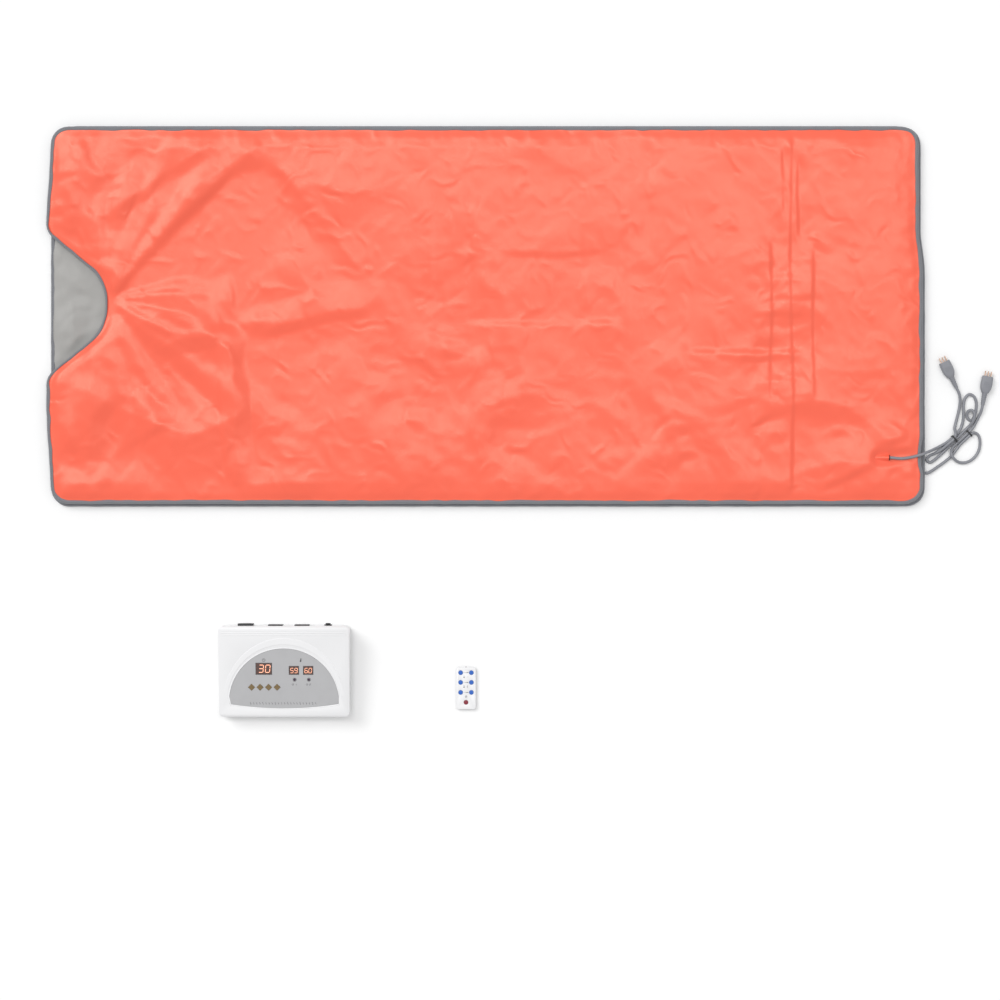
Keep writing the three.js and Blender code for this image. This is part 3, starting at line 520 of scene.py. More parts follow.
def cover_relief(x, y):
    wx = x + 0.045 * waves(x, y, 0.16, 3.1)
    wy = y + 0.045 * waves(x, y, 0.16, 9.7)
    calm = 0.45 + 0.55 * np.clip((-0.25 - x) / 0.25, 0, 1) + 0.15 * np.clip((x - 0.45) / 0.2, 0, 1)
    relief = calm * (0.0095 * facets(wx, wy, 0.30, 1.7, 1.3) + 0.0030 * waves(wx, wy, 0.16, 5.2))
    busy = np.clip(0.22 + 0.35 * patch(x, y, -0.70, -0.02, 0.28, 0.46)
                   + 0.75 * patch(x, y, 0.62, -0.06, 0.10, 0.30)
                   + 0.60 * patch(x, y, 0.20, -0.22, 0.42, 0.13)
                   + 0.50 * patch(x, y, -0.08, 0.02, 0.10, 0.30)
                   + 0.55 * patch(x, y, 0.80, -0.28, 0.12, 0.12), 0, 1.1)
    relief += busy * (0.0062 * facets(wx, wy, 0.125, 1.7, 7.4)
                      + 0.0028 * facets(wx + 0.3 * wy, wy, 0.055, 1.4, 2.6)
                      + 0.0009 * facets(wx, wy, 0.024, 1.2, 4.9))

    # the pull from the bottom of the neck notch, a fan of folds towards the far corner
    neck = np.array([neck_bottom + 0.009, notch_y + 0.010])
    away = np.hypot(x - neck[0] + 0.02, y - neck[1])
    turn = np.arctan2(y - neck[1], x - neck[0] + 0.02)
    fan = np.exp(-((away - 0.22) / 0.20) ** 2) * np.clip(away / 0.25, 0, 1)
    relief += 0.0105 * fan * facets(0.28 * away, 0.36 * turn, 0.10, 1.7, 4.4)
    for angle, length, width, height, step in (
            (41, 0.44, 0.021, -0.0006, 0.0060), (58, 0.26, 0.010, -0.0020, 0.0014),
            (27, 0.30, 0.008, -0.0020, 0.0012), (12, 0.26, 0.007, 0.0018, -0.0010),
            (3, 0.22, 0.006, -0.0018, 0.0008), (-12, 0.20, 0.008, 0.0018, 0.0010),
            (-32, 0.20, 0.010, 0.0020, 0.0), (-55, 0.22, 0.012, -0.0022, 0.0012)):
        turn = math.radians(angle)
        tip = neck + length * np.array([math.cos(turn), math.sin(turn)])
        middle = (neck + tip) / 2 + 0.03 * length * np.array([-math.sin(turn), math.cos(turn)])
        relief += fold_line(x, y, [neck, middle, tip], width, height, step, ends=0.03, flare=0.75)

    # storage creases across the panel, from where the blanket has been folded up
    for route, width, height, step in (
            ([(-0.545, 0.242), (-0.530, 0.179), (-0.515, 0.080), (-0.507, -0.010)],
             0.008, -0.0006, -0.0022),
            ([(-0.509, -0.020), (-0.498, -0.170), (-0.488, -0.345)], 0.017, 0.0, -0.0026),
            ([(-0.548, -0.060), (-0.545, -0.170), (-0.530, -0.330)], 0.005, 0.0, 0.0008),
            ([(-0.462, 0.125), (-0.470, 0.040), (-0.466, -0.02)], 0.006, 0.0, -0.0010),
            ([(-0.490, 0.150), (-0.492, 0.060)], 0.005, 0.0, -0.0008),
            ([(-0.684, -0.092), (-0.622, -0.062), (-0.530, -0.048)], 0.014, 0.0, 0.0014),
            ([(-0.470, -0.046), (-0.392, -0.022), (-0.300, 0.002), (-0.234, 0.006)], 0.010, 0.0, 0.0012),
            ([(-0.555, 0.345), (-0.660, 0.275), (-0.785, 0.190)], 0.010, 0.0, -0.0014),
            ([(-0.568, 0.316), (-0.610, 0.262), (-0.650, 0.210)], 0.012, 0.0, 0.0013),
            ([(-0.836, 0.362), (-0.852, 0.260), (-0.862, 0.157)], 0.010, 0.0, 0.0016),
            ([(-0.823, 0.366), (-0.808, 0.310), (-0.775, 0.285)], 0.008, 0.0, -0.0015),
            ([(-0.750, 0.362), (-0.758, 0.300), (-0.762, 0.250)], 0.012, 0.0, -0.0015),
            ([(-0.840, 0.205), (-0.815, 0.150), (-0.805, 0.115)], 0.012, 0.0, 0.0013),
            ([(-0.735, -0.150), (-0.790, -0.210), (-0.800, -0.290)], 0.014, 0.0, -0.0013),
            ([(0.624, 0.375), (0.620, 0.10), (0.627, -0.15), (0.624, -0.365)], 0.0040, 0.0003, -0.0009),
            ([(0.581, 0.164), (0.584, 0.0), (0.579, -0.177)], 0.0038, 0.0, -0.0009),
            ([(0.669, 0.150), (0.667, -0.01), (0.671, -0.175)], 0.0038, 0.0, -0.0010),
            ([(0.638, 0.330), (0.637, 0.25), (0.640, 0.150)], 0.0042, -0.0004, -0.0012),
            ([(0.604, 0.365), (0.608, 0.19)], 0.0038, 0.0, -0.0009),
            ([(0.333, 0.375), (0.334, 0.25), (0.331, 0.121)], 0.010, -0.0014, 0.0006),
            ([(0.285, 0.26), (0.290, 0.02), (0.284, -0.20)], 0.006, 0.0006, 0.0003),
            ([(0.193, 0.30), (0.196, 0.05), (0.192, -0.16)], 0.006, -0.0005, 0.0003),
            ([(-0.115, 0.36), (-0.110, 0.05), (-0.118, -0.33)], 0.006, 0.0005, -0.0003),
            ([(-0.035, 0.37), (-0.031, 0.02), (-0.036, -0.34)], 0.006, -0.0007, 0.0004)):
        relief += fold_line(x, y, route, width, 1.6 * height, 1.6 * step)

    # short crinkles across the storage creases, and a small star where two of them meet
    for along, level, half, height in (
            (0.618, 0.080, 0.045, -0.0012), (0.600, 0.004, 0.060, 0.0013),
            (0.615, -0.021, 0.050, -0.0012), (0.530, -0.070, 0.120, -0.0014),
            (0.560, -0.082, 0.090, 0.0011), (0.640, 0.040, 0.050, 0.0010),
            (0.610, -0.130, 0.060, -0.0010), (0.140, 0.130, 0.110, 0.0008),
            (0.120, -0.010, 0.160, -0.0009)):
        bend = 0.006 * math.sin(90 * level)
        crinkle = [(along - half, level), (along, level + bend), (along + half, level - bend)]
        relief += fold_line(x, y, crinkle, 0.0055, 0.5 * height, height, ends=0.03)
    star = np.array([-0.084, 0.025])
    for spoke in range(7):
        turn = 2 * math.pi * (spoke + 0.3 * math.sin(5 * spoke)) / 7
        reach = 0.055 + 0.02 * math.sin(3 * spoke)
        relief += fold_line(x, y, [star, star + reach * np.array([math.cos(turn), math.sin(turn)])],
                            0.005, -0.0011 if spoke % 2 else 0.0012, ends=0.02)

    # folds across the head's front corner and from the cord's pocket to the nearest edges
    for route, width, height in (
            ([(-0.885, -0.197), (-0.850, -0.265), (-0.811, -0.328)], 0.010, 0.0022),
            ([(-0.805, -0.345), (-0.770, -0.28), (-0.727, -0.2135)], 0.010, -0.0022),
            ([(-0.727, -0.267), (-0.68, -0.235), (-0.632, -0.2135)], 0.008, 0.0015),
            ([(-0.747, 0.360), (-0.742, 0.280)], 0.012, -0.0018),
            ([(-0.817, 0.360), (-0.812, 0.285)], 0.012, -0.0018),
            ([(0.681, -0.355), (0.760, -0.318), (0.800, -0.2976)], 0.006, 0.0020),
            ([(0.790, -0.268), (0.828, -0.258), (0.868, -0.240)], 0.006, 0.0018),
            ([(0.835, -0.303), (0.858, -0.325), (0.878, -0.345)], 0.010, 0.0018),
            ([(0.700, -0.250), (0.740, -0.215), (0.800, -0.200)], 0.008, 0.0012)):
        relief += fold_line(x, y, route, width, 0.5 * height, height)
    return relief


def cover_height(x, y):
    edge = cover_panel.edge_distance(x, y)
    slack = 0.0050 + cover_relief(x, y)
    # puckers square to the edge, where the binding gathers the cloth
    run = np.where(np.minimum(y - cover_panel.y0, cover_panel.y1 - y) < 0.05, x, y)
    gather = waves(run, np.zeros_like(run), 0.022, 6.1) * np.exp(-((edge - 0.020) / 0.014) ** 2)
    slack += 0.0026 * gather
    slack = 0.0006 + 0.0008 * np.logaddexp(0, (slack - 0.0006) / 0.0008)
    # the cloth is pressed down under the pocket and the cord
    along = np.clip(x - grommet[0], -0.012, cover_foot - grommet[0])
    off = np.hypot(x - grommet[0] - along, y - grommet[1] - 0.06 * np.maximum(along, 0))
    held = np.exp(-(off / 0.014) ** 4)
    slack = slack * (1 - held) + 0.0001 * held
    slack = slack * (0.3 + 0.7 * np.clip((edge - 0.008) / 0.035, 0, 1))
    rise = eased(np.clip((edge - 0.005) / 0.019, 0, 1))
    return cover_panel.high - edge_tuck + rise * (edge_tuck + slack)


def cover_place(u, v):
    # the columns are twice as close together where the storage creases run
    marks = np.array([0, 0.19, 0.26, 0.80, 0.88, 1.0])
    steps = np.diff(marks) * np.array([1, 2, 1, 2, 1])
    share = np.concatenate([[0], np.cumsum(steps)]) / steps.sum()
    x, y = cover_panel.spread(np.interp(u, share, marks), v, 0.003)
    return np.column_stack([x, y, cover_height(x, y)])


cover_shell = skin(328, 146, cover_place, double=None)
cover_cloth = make_piece("cover_cloth", face_up(cover_shell))


def thicken(piece, thickness, offset):
    wall = piece.modifiers.new("cloth thickness", "SOLIDIFY")
    wall.thickness, wall.offset = thickness, offset


thicken(cover_cloth, fabric, -1)
finish_piece(cover_cloth, "cover", satin, ["cover_shell"])


# ---- linings and base shell ----------------------------------------------------------------
# Grey waterproof cloth faces the person on both panels, and coral cloth lies on the floor side
# of the base. The lining wrinkles most where the neck notch leaves it uncovered.
base_top = base_panel.high
tape_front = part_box("hook_tape")[1][1]
strip_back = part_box("hinge_strip")[0][1]


def lining_slack(panel, x, y, seed, most):
    wx = x + 0.03 * waves(x, y, 0.13, seed + 1)
    wy = y + 0.03 * waves(x, y, 0.13, seed + 2)
    slack = (0.45 + 0.9 * waves(wx, wy, 0.11, seed, ridged=True)
             + 0.5 * waves(wx, wy, 0.045, seed + 4, ridged=True))
    room = np.clip((y - tape_front - 0.004) / 0.03, 0, 1)
    room *= np.clip((strip_back - 0.004 - y) / 0.03, 0, 1)
    room *= np.clip((panel.edge_distance(x, y) - 0.010) / 0.03, 0, 1)
    return most * np.clip(slack, 0, 1) * room


def base_lining_height(x, y):
    bare = np.clip((cover_panel.left(y) - x - 0.006) / 0.03, 0, 1)
    slack = lining_slack(base_panel, x, y, 2.2, 0.0012)
    tucks = sum(fold_line(x, y, route, 0.007, height, ends=0.03) for route, height in (
        ([(-0.868, 0.115), (-0.835, 0.06), (-0.800, 0.045)], 0.0022),
        ([(-0.875, -0.02), (-0.840, 0.01), (-0.800, 0.012)], -0.0012),
        ([(-0.870, -0.085), (-0.838, -0.045), (-0.795, -0.020)], 0.0020),
        ([(-0.872, 0.06), (-0.850, 0.02), (-0.845, -0.05)], 0.0014)))
    slack += bare * (0.0044 + 2.2 * tucks + 0.0062 * facets(x, y, 0.055, 1.7, 8.8)
                     + 0.0022 * facets(x, y, 0.024, 1.5, 3.7))
    edge = np.clip((base_panel.edge_distance(x, y) - 0.005) / 0.012, 0, 1)
    return base_top - 0.0009 + edge * (0.00095 + np.maximum(slack, 0))


def lay_cloth(name, panel, height, columns, rows, up, offset, inset=0.003):
    def place(u, v):
        x, y = panel.spread(u, v, inset)
        return np.column_stack([x, y, height(x, y)])
    piece = make_piece(name, face_up(skin(columns, rows, place, double=None), up))
    thicken(piece, fabric * 0.8, offset)
    return piece


base_lining = lay_cloth("base_lining_cloth", base_panel, base_lining_height, 300, 130, 1, -1)
finish_piece(base_lining, "base", lining_cloth, ["base_lining"])


def cover_lining_height(x, y):
    edge = np.clip((cover_panel.edge_distance(x, y) - 0.005) / 0.012, 0, 1)
    return cover_panel.low + 0.0009 - edge * (0.0009 + lining_slack(cover_panel, x, y, 6.6, 0.0009))


cover_lining = lay_cloth("cover_lining_cloth", cover_panel, cover_lining_height, 260, 112, -1, -1)
finish_piece(cover_lining, "cover", lining_cloth, ["cover_lining"])


def base_shell_height(x, y):
    edge = np.clip((base_panel.edge_distance(x, y) - 0.005) / 0.012, 0, 1)
    return 0.0010 - edge * (0.0009 - 0.00015 * np.clip(waves(x, y, 0.09, 3.3, ridged=True), 0, 1))


base_shell = lay_cloth("base_shell_cloth", base_panel, base_shell_height, 180, 80, -1, -1)
finish_piece(base_shell, "base", satin, ["base_shell"])


# ---- edge bindings -------------------------------------------------------------------------
# A ribbed tape folded over each panel's raw edge and lockstitched through all the layers. It
# is cut on the straight, so it waves and puckers a little as it follows the edge.
def bind(name, panel, body, replaced, seed, flat_side):
    lip = 0.0074
    low, high = panel.low, panel.high
    top = high + (0.00035 if flat_side == "below" else 0.0002)
    middle = (low + high) / 2
    section = [(lip, top - 0.0003), (lip * 0.8, top), (lip * 0.45, top), (0.0018, top - 0.0004),
               (0.0005, high - 0.0016), (0.0, middle), (0.0005, low + 0.0016), (0.0018, low + 0.0003),
               (lip * 0.45, low), (lip * 0.8, low), (lip, low + 0.0001), (lip, low + 0.0007),
               (0.0030, low + 0.0010), (0.0018, middle), (0.0030, high - 0.0008), (lip, high - 0.0008)]
    section = np.array([*section, section[0]])
    count = 620

    def place(u, v):
        step = v * (len(section) - 1)
        inset = np.interp(step, np.arange(len(section)), section[:, 0])
        z = np.interp(step, np.arange(len(section)), section[:, 1])
        turn = 2 * math.pi * u
        ripple = waves(np.cos(turn), np.sin(turn), 1 / 34, seed)
        pucker = waves(np.cos(turn), np.sin(turn), 1 / 150, seed + 3)
        if panel.notch:
            # the tape is stretched narrow round the tight curve of the notch
            ex, ey = panel.outline(u, 0.0)
            from_notch = np.hypot(ex - panel.x0, ey - notch_y)
            inset = inset * (1 - 0.38 * np.clip((0.19 - from_notch) / 0.04, 0, 1))
        inset = inset + (0.0007 + 0.0026 * ripple) * np.clip(inset / 0.004, 0.25, 1)
        puff = np.where((z > middle) & (inset > 0.0012), 0.00022 * pucker, 0.0)
        x, y = np.zeros_like(u), np.zeros_like(u)
        for inset_step in np.unique(np.round(inset, 5)):
            here = np.round(inset, 5) == inset_step
            x[here], y[here] = panel.outline(u[here], inset_step)
        return np.column_stack([x, y, z + puff])

    piece = make_piece(name, skin(count, len(section) - 1, place, double=5e-6))
    finish_piece(piece, body, tape_cloth, [replaced])
    return piece


base_edge = bind("base_edge_tape", base_panel, "base", "base_binding", 1.7, "above")
cover_edge = bind("cover_edge_tape", cover_panel, "cover", "cover_binding", 5.3, "below")


# Lockstitch thread shows as a row of short dashes along the lip of each tape.
thread_material = moulded("sewing thread", (0.16, 0.165, 0.18), 0.7, scale=2500.0, depth=0.00003)


def stitch_row(name, panel, body, inset, height, pitch=0.0042):
    around = np.linspace(0, 1, 4001)
    x, y = panel.outline(around, inset)
    run = np.concatenate([[0], np.cumsum(np.hypot(np.diff(x), np.diff(y)))])
    stitches = int(run[-1] / pitch)
    shape = bmesh.new()
    for number in range(stitches):
        at = (number + 0.5) * run[-1] / stitches
        px, py = np.interp(at, run, x), np.interp(at, run, y)
        qx, qy = np.interp(at + 0.001, run, x), np.interp(at + 0.001, run, y)
        turn = Matrix.Rotation(math.atan2(qy - py, qx - px), 4, "Z")
        size = Matrix.Diagonal((pitch * 0.68, 0.0006, 0.0004, 1.0))
        spot = Matrix.Translation((px, py, height))
        bmesh.ops.create_cube(shape, size=1.0, matrix=spot @ turn @ size)
    return finish_piece(make_piece(name, shape, sharp=30), body, thread_material)


cover_row = stitch_row("cover_stitches", cover_panel, "cover", 0.0040, cover_panel.high + 0.0004)
base_row = stitch_row("base_stitches", base_panel, "base", 0.0040, base_panel.high + 0.0002)


# ---- hinge strip and closure tapes -----------------------------------------------------------
# A strip of binding tape folded along its length joins the back edges, so the cover turns on
# the fold. Hook and loop tapes close the front edge.
strip_low, strip_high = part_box("hinge_strip")
fold_y = 0.3902
half_leaf = 0.00025


def strip_place(u, v):
    fold = (strip_low[2] + strip_high[2]) / 2
    lower, upper = strip_low[2] + half_leaf, strip_high[2] - half_leaf
    across = [strip_low[1], fold_y - 0.003, fold_y - 0.0008, fold_y]
    ys = [*across, *across[2::-1]]
    zs = [lower, lower, fold - 0.0005, fold, fold + 0.0005, upper, upper]
    marks = np.array([0, 0.42, 0.47, 0.5, 0.53, 0.58, 1])
    # the fold is tucked in at both ends, clear of the rounded corners
    tuck = 1 - 0.16 * np.clip(1 - np.minimum(u, 1 - u) / 0.012, 0, 1) ** 2
    return np.column_stack([strip_low[0] + u * (strip_high[0] - strip_low[0]),
                            strip_low[1] + tuck * (np.interp(v, marks, ys) - strip_low[1]),
                            np.interp(v, marks, zs)])


strip = make_piece("hinge_strip_tape", skin(172, 100, strip_place, double=None))
thicken(strip, 2 * half_leaf, 0)
strip.data.materials.append(tape_cloth)
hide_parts("hinge_strip")
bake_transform(strip)


# ---- closure tapes, cord pocket, ties and plugs ----------------------------------------------
# The hook and loop tapes and the wire ties are made as the frame has them, with their edges
# eased. The cover's cord comes out of a low pocket of shell cloth through a nylon eyelet, and
# the plugs are moulded over the cords' ends.
def refined(node, name, body, material, ease=0.0005, keen=35):
    """A copy of a frame solid with its facets joined and its sharp edges eased."""
    shape = bmesh.new()
    shape.from_mesh(frame["nodes"][node].data)
    bmesh.ops.remove_doubles(shape, verts=shape.verts[:], dist=1e-5)
    bmesh.ops.dissolve_limit(shape, angle_limit=math.radians(0.5), verts=shape.verts[:],
                             edges=shape.edges[:])
    if ease:
        edges = [edge for edge in shape.edges
                 if len(edge.link_faces) == 2 and edge.calc_face_angle(0) > math.radians(keen)]
        bmesh.ops.bevel(shape, geom=edges, offset=ease, offset_type="OFFSET", segments=2,
                        profile=0.5, affect="EDGES", clamp_overlap=True, material=-1)
    return finish_piece(make_piece(name, shape, sharp=keen), body, material, [node])


hook_material = moulded("hook and loop pile", (0.022, 0.022, 0.026), 0.95, scale=1600.0,
                        depth=0.0006, mottling=0.5)
tie_material = moulded("tie wire cover", (0.012, 0.012, 0.014), 0.45, scale=1500.0, depth=0.00003)
black_material = moulded("black nylon", (0.016, 0.016, 0.018), 0.42, scale=1300.0, depth=0.00004)
refined("hook_tape", "hook_strip", "base", hook_material, ease=0.0003)
refined("loop_tape", "loop_strip", "cover", hook_material, ease=0.0003)


def pocket_place(u, v):
    """A low pocket of shell cloth that swells towards the foot end, where the cord comes out."""
    share = np.clip(v / 0.94, 0, 1)
    start, finish = eyelet_low[0] - 0.030, eyelet_high[0] - 0.0015
    x = start + share * (finish - start) + 0.0005 * np.clip((v - 0.94) / 0.06, 0, 1)
    grow = share ** 1.6 * np.clip((1 - v) / 0.06, 0, 1)
    across = 2 * u - 1
    tall = eyelet_high[2] - cover_panel.high + 0.0012
    bell = np.exp(-(across / 0.42) ** 2) - math.exp(-(1 / 0.42) ** 2)
    return np.column_stack([x, grommet[1] + across * (0.009 + 0.005 * share),
                            cover_panel.high - 0.0005 + tall * grow * bell])


pocket = make_piece("cord_pocket", face_up(skin(40, 34, pocket_place, double=None)))
thicken(pocket, 0.0006, -1)
finish_piece(pocket, "cover", satin)

shape = skin(32, 12, lambda u, v: np.column_stack([
    eyelet_high[0] - 0.0006 + 0.0008 * np.sin(2 * math.pi * v),
    grommet[1] + (0.0044 + 0.0011 * np.cos(2 * math.pi * v)) * np.cos(2 * math.pi * u),
    cover_cord_exit[2] + (0.0041 + 0.0008 * np.cos(2 * math.pi * v)) * np.sin(2 * math.pi * u)]))
finish_piece(make_piece("cord_eyelet", shape), "cover", black_material,
             ["cover_cord_grommet"])
refined("cord_tie_1", "cover_cord_tie", "cover", tie_material, ease=0.0003)
refined("cord_tie_2", "base_cord_tie", "base", tie_material, ease=0.0003)

plug_length, relief_length, plug_half, plug_depth = 0.036, 0.024, 0.012, 0.0075


def plug_place(u, v):
    """Strain relief with moulded ribs, then a body that swells and ends in a flat face."""
    end_face = relief_length + plug_length - 0.0003
    along = np.interp(v, [0, 0.02, 0.45, 0.5, 0.97, 1.0],
                      [0.0, 0.0, relief_length, relief_length + 0.002, end_face, end_face])
    t = np.clip((along - relief_length) / plug_length, 0, 1)
    relief = 0.0038 + 0.0016 * np.clip(along / relief_length, 0, 1)
    ribs = 0.0005 * np.clip(np.sin(along / relief_length * 2 * math.pi * 6) * 3, -1, 1)
    ribs *= (along > 0.003) & (along < relief_length - 0.001)
    swell = np.interp(t, [0, 0.08, 0.30, 0.55, 0.90, 0.97, 1.0],
                      [0, 0.35, 0.86, 1.0, 0.90, 0.84, 0.78])
    wide = relief + ribs + (plug_half - relief) * swell
    thick = relief + ribs + (plug_depth - relief) * np.interp(
        t, [0, 0.08, 0.25, 0.90, 0.97, 1.0], [0, 0.5, 1.0, 1.0, 0.92, 0.84])
    power = 2.0 + 2.2 * np.clip(t * 6, 0, 1)
    turn = 2 * math.pi * u
    c, s = np.cos(turn), np.sin(turn)
    cap = np.clip(np.minimum(v / 0.02, (1.0 - v) / 0.03), 0, 1)
    return np.column_stack([np.sign(c) * np.abs(c) ** (2 / power) * wide * cap, along,
                            np.sign(s) * np.abs(s) ** (2 / power) * thick * cap])


plug_material = moulded("plug PVC", (0.245, 0.250, 0.275), 0.5, scale=900.0, depth=0.00006)
brass_material = moulded("brass blades", (0.48, 0.33, 0.25), 0.42, metallic=1.0, scale=1800.0,
                         depth=0.00001)
for side, route in (("cover", cover_cord_route), ("base", base_cord_route)):
    end, before = Vector(route[-1]), Vector(route[-2])
    turn = Matrix.Rotation(math.atan2(end.y - before.y, end.x - before.x) - math.pi / 2, 4, "Z")
    shape = skin(40, 96, plug_place, double=2e-5)
    grips = [Vector((0, relief_length + 0.012 + 0.0035 * row, z))
             for row in range(4) for z in (plug_depth, -plug_depth)]
    for grip in grips:
        bar = bmesh.ops.create_cube(shape, size=1.0, matrix=Matrix.Translation(grip)
                                    @ Matrix.Diagonal((0.0125, 0.0013, 0.0010, 1.0)))
        edges = list({edge for vert in bar["verts"] for edge in vert.link_edges})
        bmesh.ops.bevel(shape, geom=edges, offset=0.0004, offset_type="OFFSET", segments=2,
                        profile=0.5, affect="EDGES", material=-1)
    shape.transform(Matrix.Translation(end) @ turn @ Matrix.Translation((0, touch, 0)))
    finish_piece(make_piece(f"{side}_plug_body", shape, sharp=50), side, plug_material,
                 [f"{side}_plug"])
    frame["nodes"][f"{side}_plug_contacts"].data.materials.clear()
    frame["nodes"][f"{side}_plug_contacts"].data.materials.append(brass_material)


# ---- controller case -------------------------------------------------------------------------
# A white ABS wedge in two halves. The top carries three fine ridges along its rear edge and a
# raised band arched over the half-moon fascia, which sits in a rim.
case_low, case_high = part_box("case_top")
case_depth, rear_height, front_height = 0.186, 0.072, 0.048
face_centre = Vector(((case_low[0] + case_high[0]) / 2, (case_low[1] + case_high[1]) / 2,
                      (rear_height + front_height) / 2))
face_slope = math.atan2(rear_height - front_height, case_depth)
on_face = Matrix.Translation(face_centre) @ Matrix.Rotation(face_slope, 4, "X")
case_material = moulded("white ABS", (0.84, 0.84, 0.85), 0.36, scale=1400.0, depth=0.00002,
                        mottling=0.02)
gloss_white = moulded("polished white ABS", (0.90, 0.90, 0.91), 0.2, scale=600.0, depth=0.000005,
                      mottling=0.01)
for node, name, ease in (("case_top", "case_upper_half", 0.0007),
                         ("case_base", "case_lower_half", 0.0005)):
    refined(node, name, "controller", case_material, ease=ease, keen=40)

fascia_radius, fascia_v, fascia_low_v, fascia_side = 0.1115, -0.064, -0.075, 0.12
fascia_top = 0.0005


def half_moon(t, grow):
    """The fascia's edge, t from 0 to 1: an arc over the top and a shallow bow along the bottom."""
    r = fascia_radius + grow
    foot_v = fascia_v - 0.002 - 1.5 * grow
    foot_x = r * math.cos(fascia_side)
    arc = fascia_side + np.clip(t / 0.6, 0, 1) * (math.pi - 2 * fascia_side)
    back = np.clip((t - 0.6) / 0.4, 0, 1)
    bow = 2 * (fascia_low_v - grow) - foot_v
    u = np.where(t < 0.6, r * np.cos(arc), foot_x * (2 * back - 1))
    v = np.where(t < 0.6, fascia_v + r * np.sin(arc),
                 (1 - back) ** 2 * foot_v + 2 * back * (1 - back) * bow + back ** 2 * foot_v)
    return u, v


def rim_place(u, v):
    turn = 2 * math.pi * v
    x, y = half_moon(u * 0.9999, 0.0013)
    inner_x, inner_y = half_moon(u * 0.9999, 0.0003)
    swing = (np.cos(turn) + 1) / 2
    return np.column_stack([inner_x + 2 * swing * (x - inner_x), inner_y + 2 * swing * (y - inner_y),
                            0.0010 * np.sin(turn) - 0.0001])


shape = skin(180, 10, rim_place, double=2e-5)
shape.transform(on_face)
finish_piece(make_piece("fascia_rim", shape), "controller", gloss_white)


def arch_place(u, v):
    turn = math.pi * u
    inner, outer = (0.1155, 0.1195), (0.1235, 0.1335)
    share = np.interp(v, [0, 0.08, 0.92, 1.0, 1.0], [0, 0.05, 0.95, 1, 1])
    wide = inner[0] + share * (outer[0] - inner[0])
    tall = inner[1] + share * (outer[1] - inner[1])
    ends = np.clip(np.minimum(u, 1 - u) / 0.10, 0, 1)
    lift = 0.0009 * ends * np.clip(np.minimum(v, 1 - v) / 0.10, 0, 1) ** 0.5 - 0.0003
    return np.column_stack([wide * np.cos(turn), fascia_v + tall * np.sin(turn), lift])


shape = skin(120, 20, arch_place, double=None)
face_up(shape)
shape.transform(on_face)
arch = make_piece("case_arch", shape)
thicken(arch, 0.0008, -1)
finish_piece(arch, "controller", case_material)


def face_bar(shape, start, end, width, low, high, ease=0.0):
    """A straight bar lying on the sloping face, from start to end in its (u, v)."""
    (au, av), (bu, bv) = start, end
    length = math.hypot(bu - au, bv - av)
    spot = Matrix.Translation(((au + bu) / 2, (av + bv) / 2, (low + high) / 2))
    turn = Matrix.Rotation(math.atan2(bv - av, bu - au), 4, "Z")
    bar = bmesh.ops.create_cube(shape, size=1.0, matrix=spot @ turn @ Matrix.Diagonal(
        (length, width, high - low, 1.0)))
    if ease:
        edges = list({edge for vert in bar["verts"] for edge in vert.link_edges})
        bmesh.ops.bevel(shape, geom=edges, offset=ease, offset_type="OFFSET", segments=3,
                        profile=0.5, affect="EDGES", material=-1)


shape = bmesh.new()
rear_v, ridge_half = case_depth / 2 / math.cos(face_slope), 0.1265
for back in (0.009, 0.014, 0.0185):
    face_bar(shape, (-ridge_half, rear_v - back), (ridge_half, rear_v - back), 0.0016,
             -0.0006, 0.0006, ease=0.0005)
shape.transform(on_face)
finish_piece(make_piece("case_ridges", shape, sharp=50), "controller", case_material)


# ---- fascia, its marks and displays ----------------------------------------------------------
# A printed polycarbonate overlay in satin grey. Its marks are generic pictures: a clock, a
# thermometer, output numbers and rising heat. Three red LED modules show through windows.
fascia_material = moulded("satin grey overlay", (0.46, 0.46, 0.47), 0.34, scale=1600.0,
                          depth=0.00001, mottling=0.10)
ink = moulded("printed ink", (0.05, 0.05, 0.055), 0.5, scale=1500.0, depth=0.00001)
window = moulded("display window", (0.115, 0.068, 0.060), 0.12, scale=300.0, depth=0.000002,
                 mottling=0.2)
refined("fascia", "fascia_overlay", "controller", fascia_material, ease=0.0)
for display in ("time_display", "temp_display_1", "temp_display_2"):
    refined(display, display.replace("display", "window"), "controller", window,
            ease=0.0003)
lamp_material = moulded("lamp lens", (0.060, 0.032, 0.060), 0.15, scale=500.0, depth=0.000002,
                        mottling=0.3)
for lamp in ("output_lamp_1", "output_lamp_2"):
    refined(lamp, lamp + "_lens", "controller", lamp_material, ease=0.0008)

mark_low, mark_high = fascia_top - 0.0001, fascia_top + 0.00014


def ring_mark(shape, cu, cv, radius, width, start=0.0, sweep=360.0, low=mark_low, high=mark_high):
    steps = max(6, int(sweep / 15))
    turns = [math.radians(start + sweep * k / steps) for k in range(steps + 1)]
    points = [(cu + radius * math.cos(turn), cv + radius * math.sin(turn)) for turn in turns]
    for a, b in zip(points, points[1:]):
        face_bar(shape, a, b, width, low, high)


def wave_mark(shape, cu, cv, height, width):
    points = [(cu + 0.18 * height * math.sin(2 * math.pi * k / 10), cv + height * (k / 10 - 0.5))
              for k in range(11)]
    for a, b in zip(points, points[1:]):
        face_bar(shape, a, b, width, mark_low, mark_high)


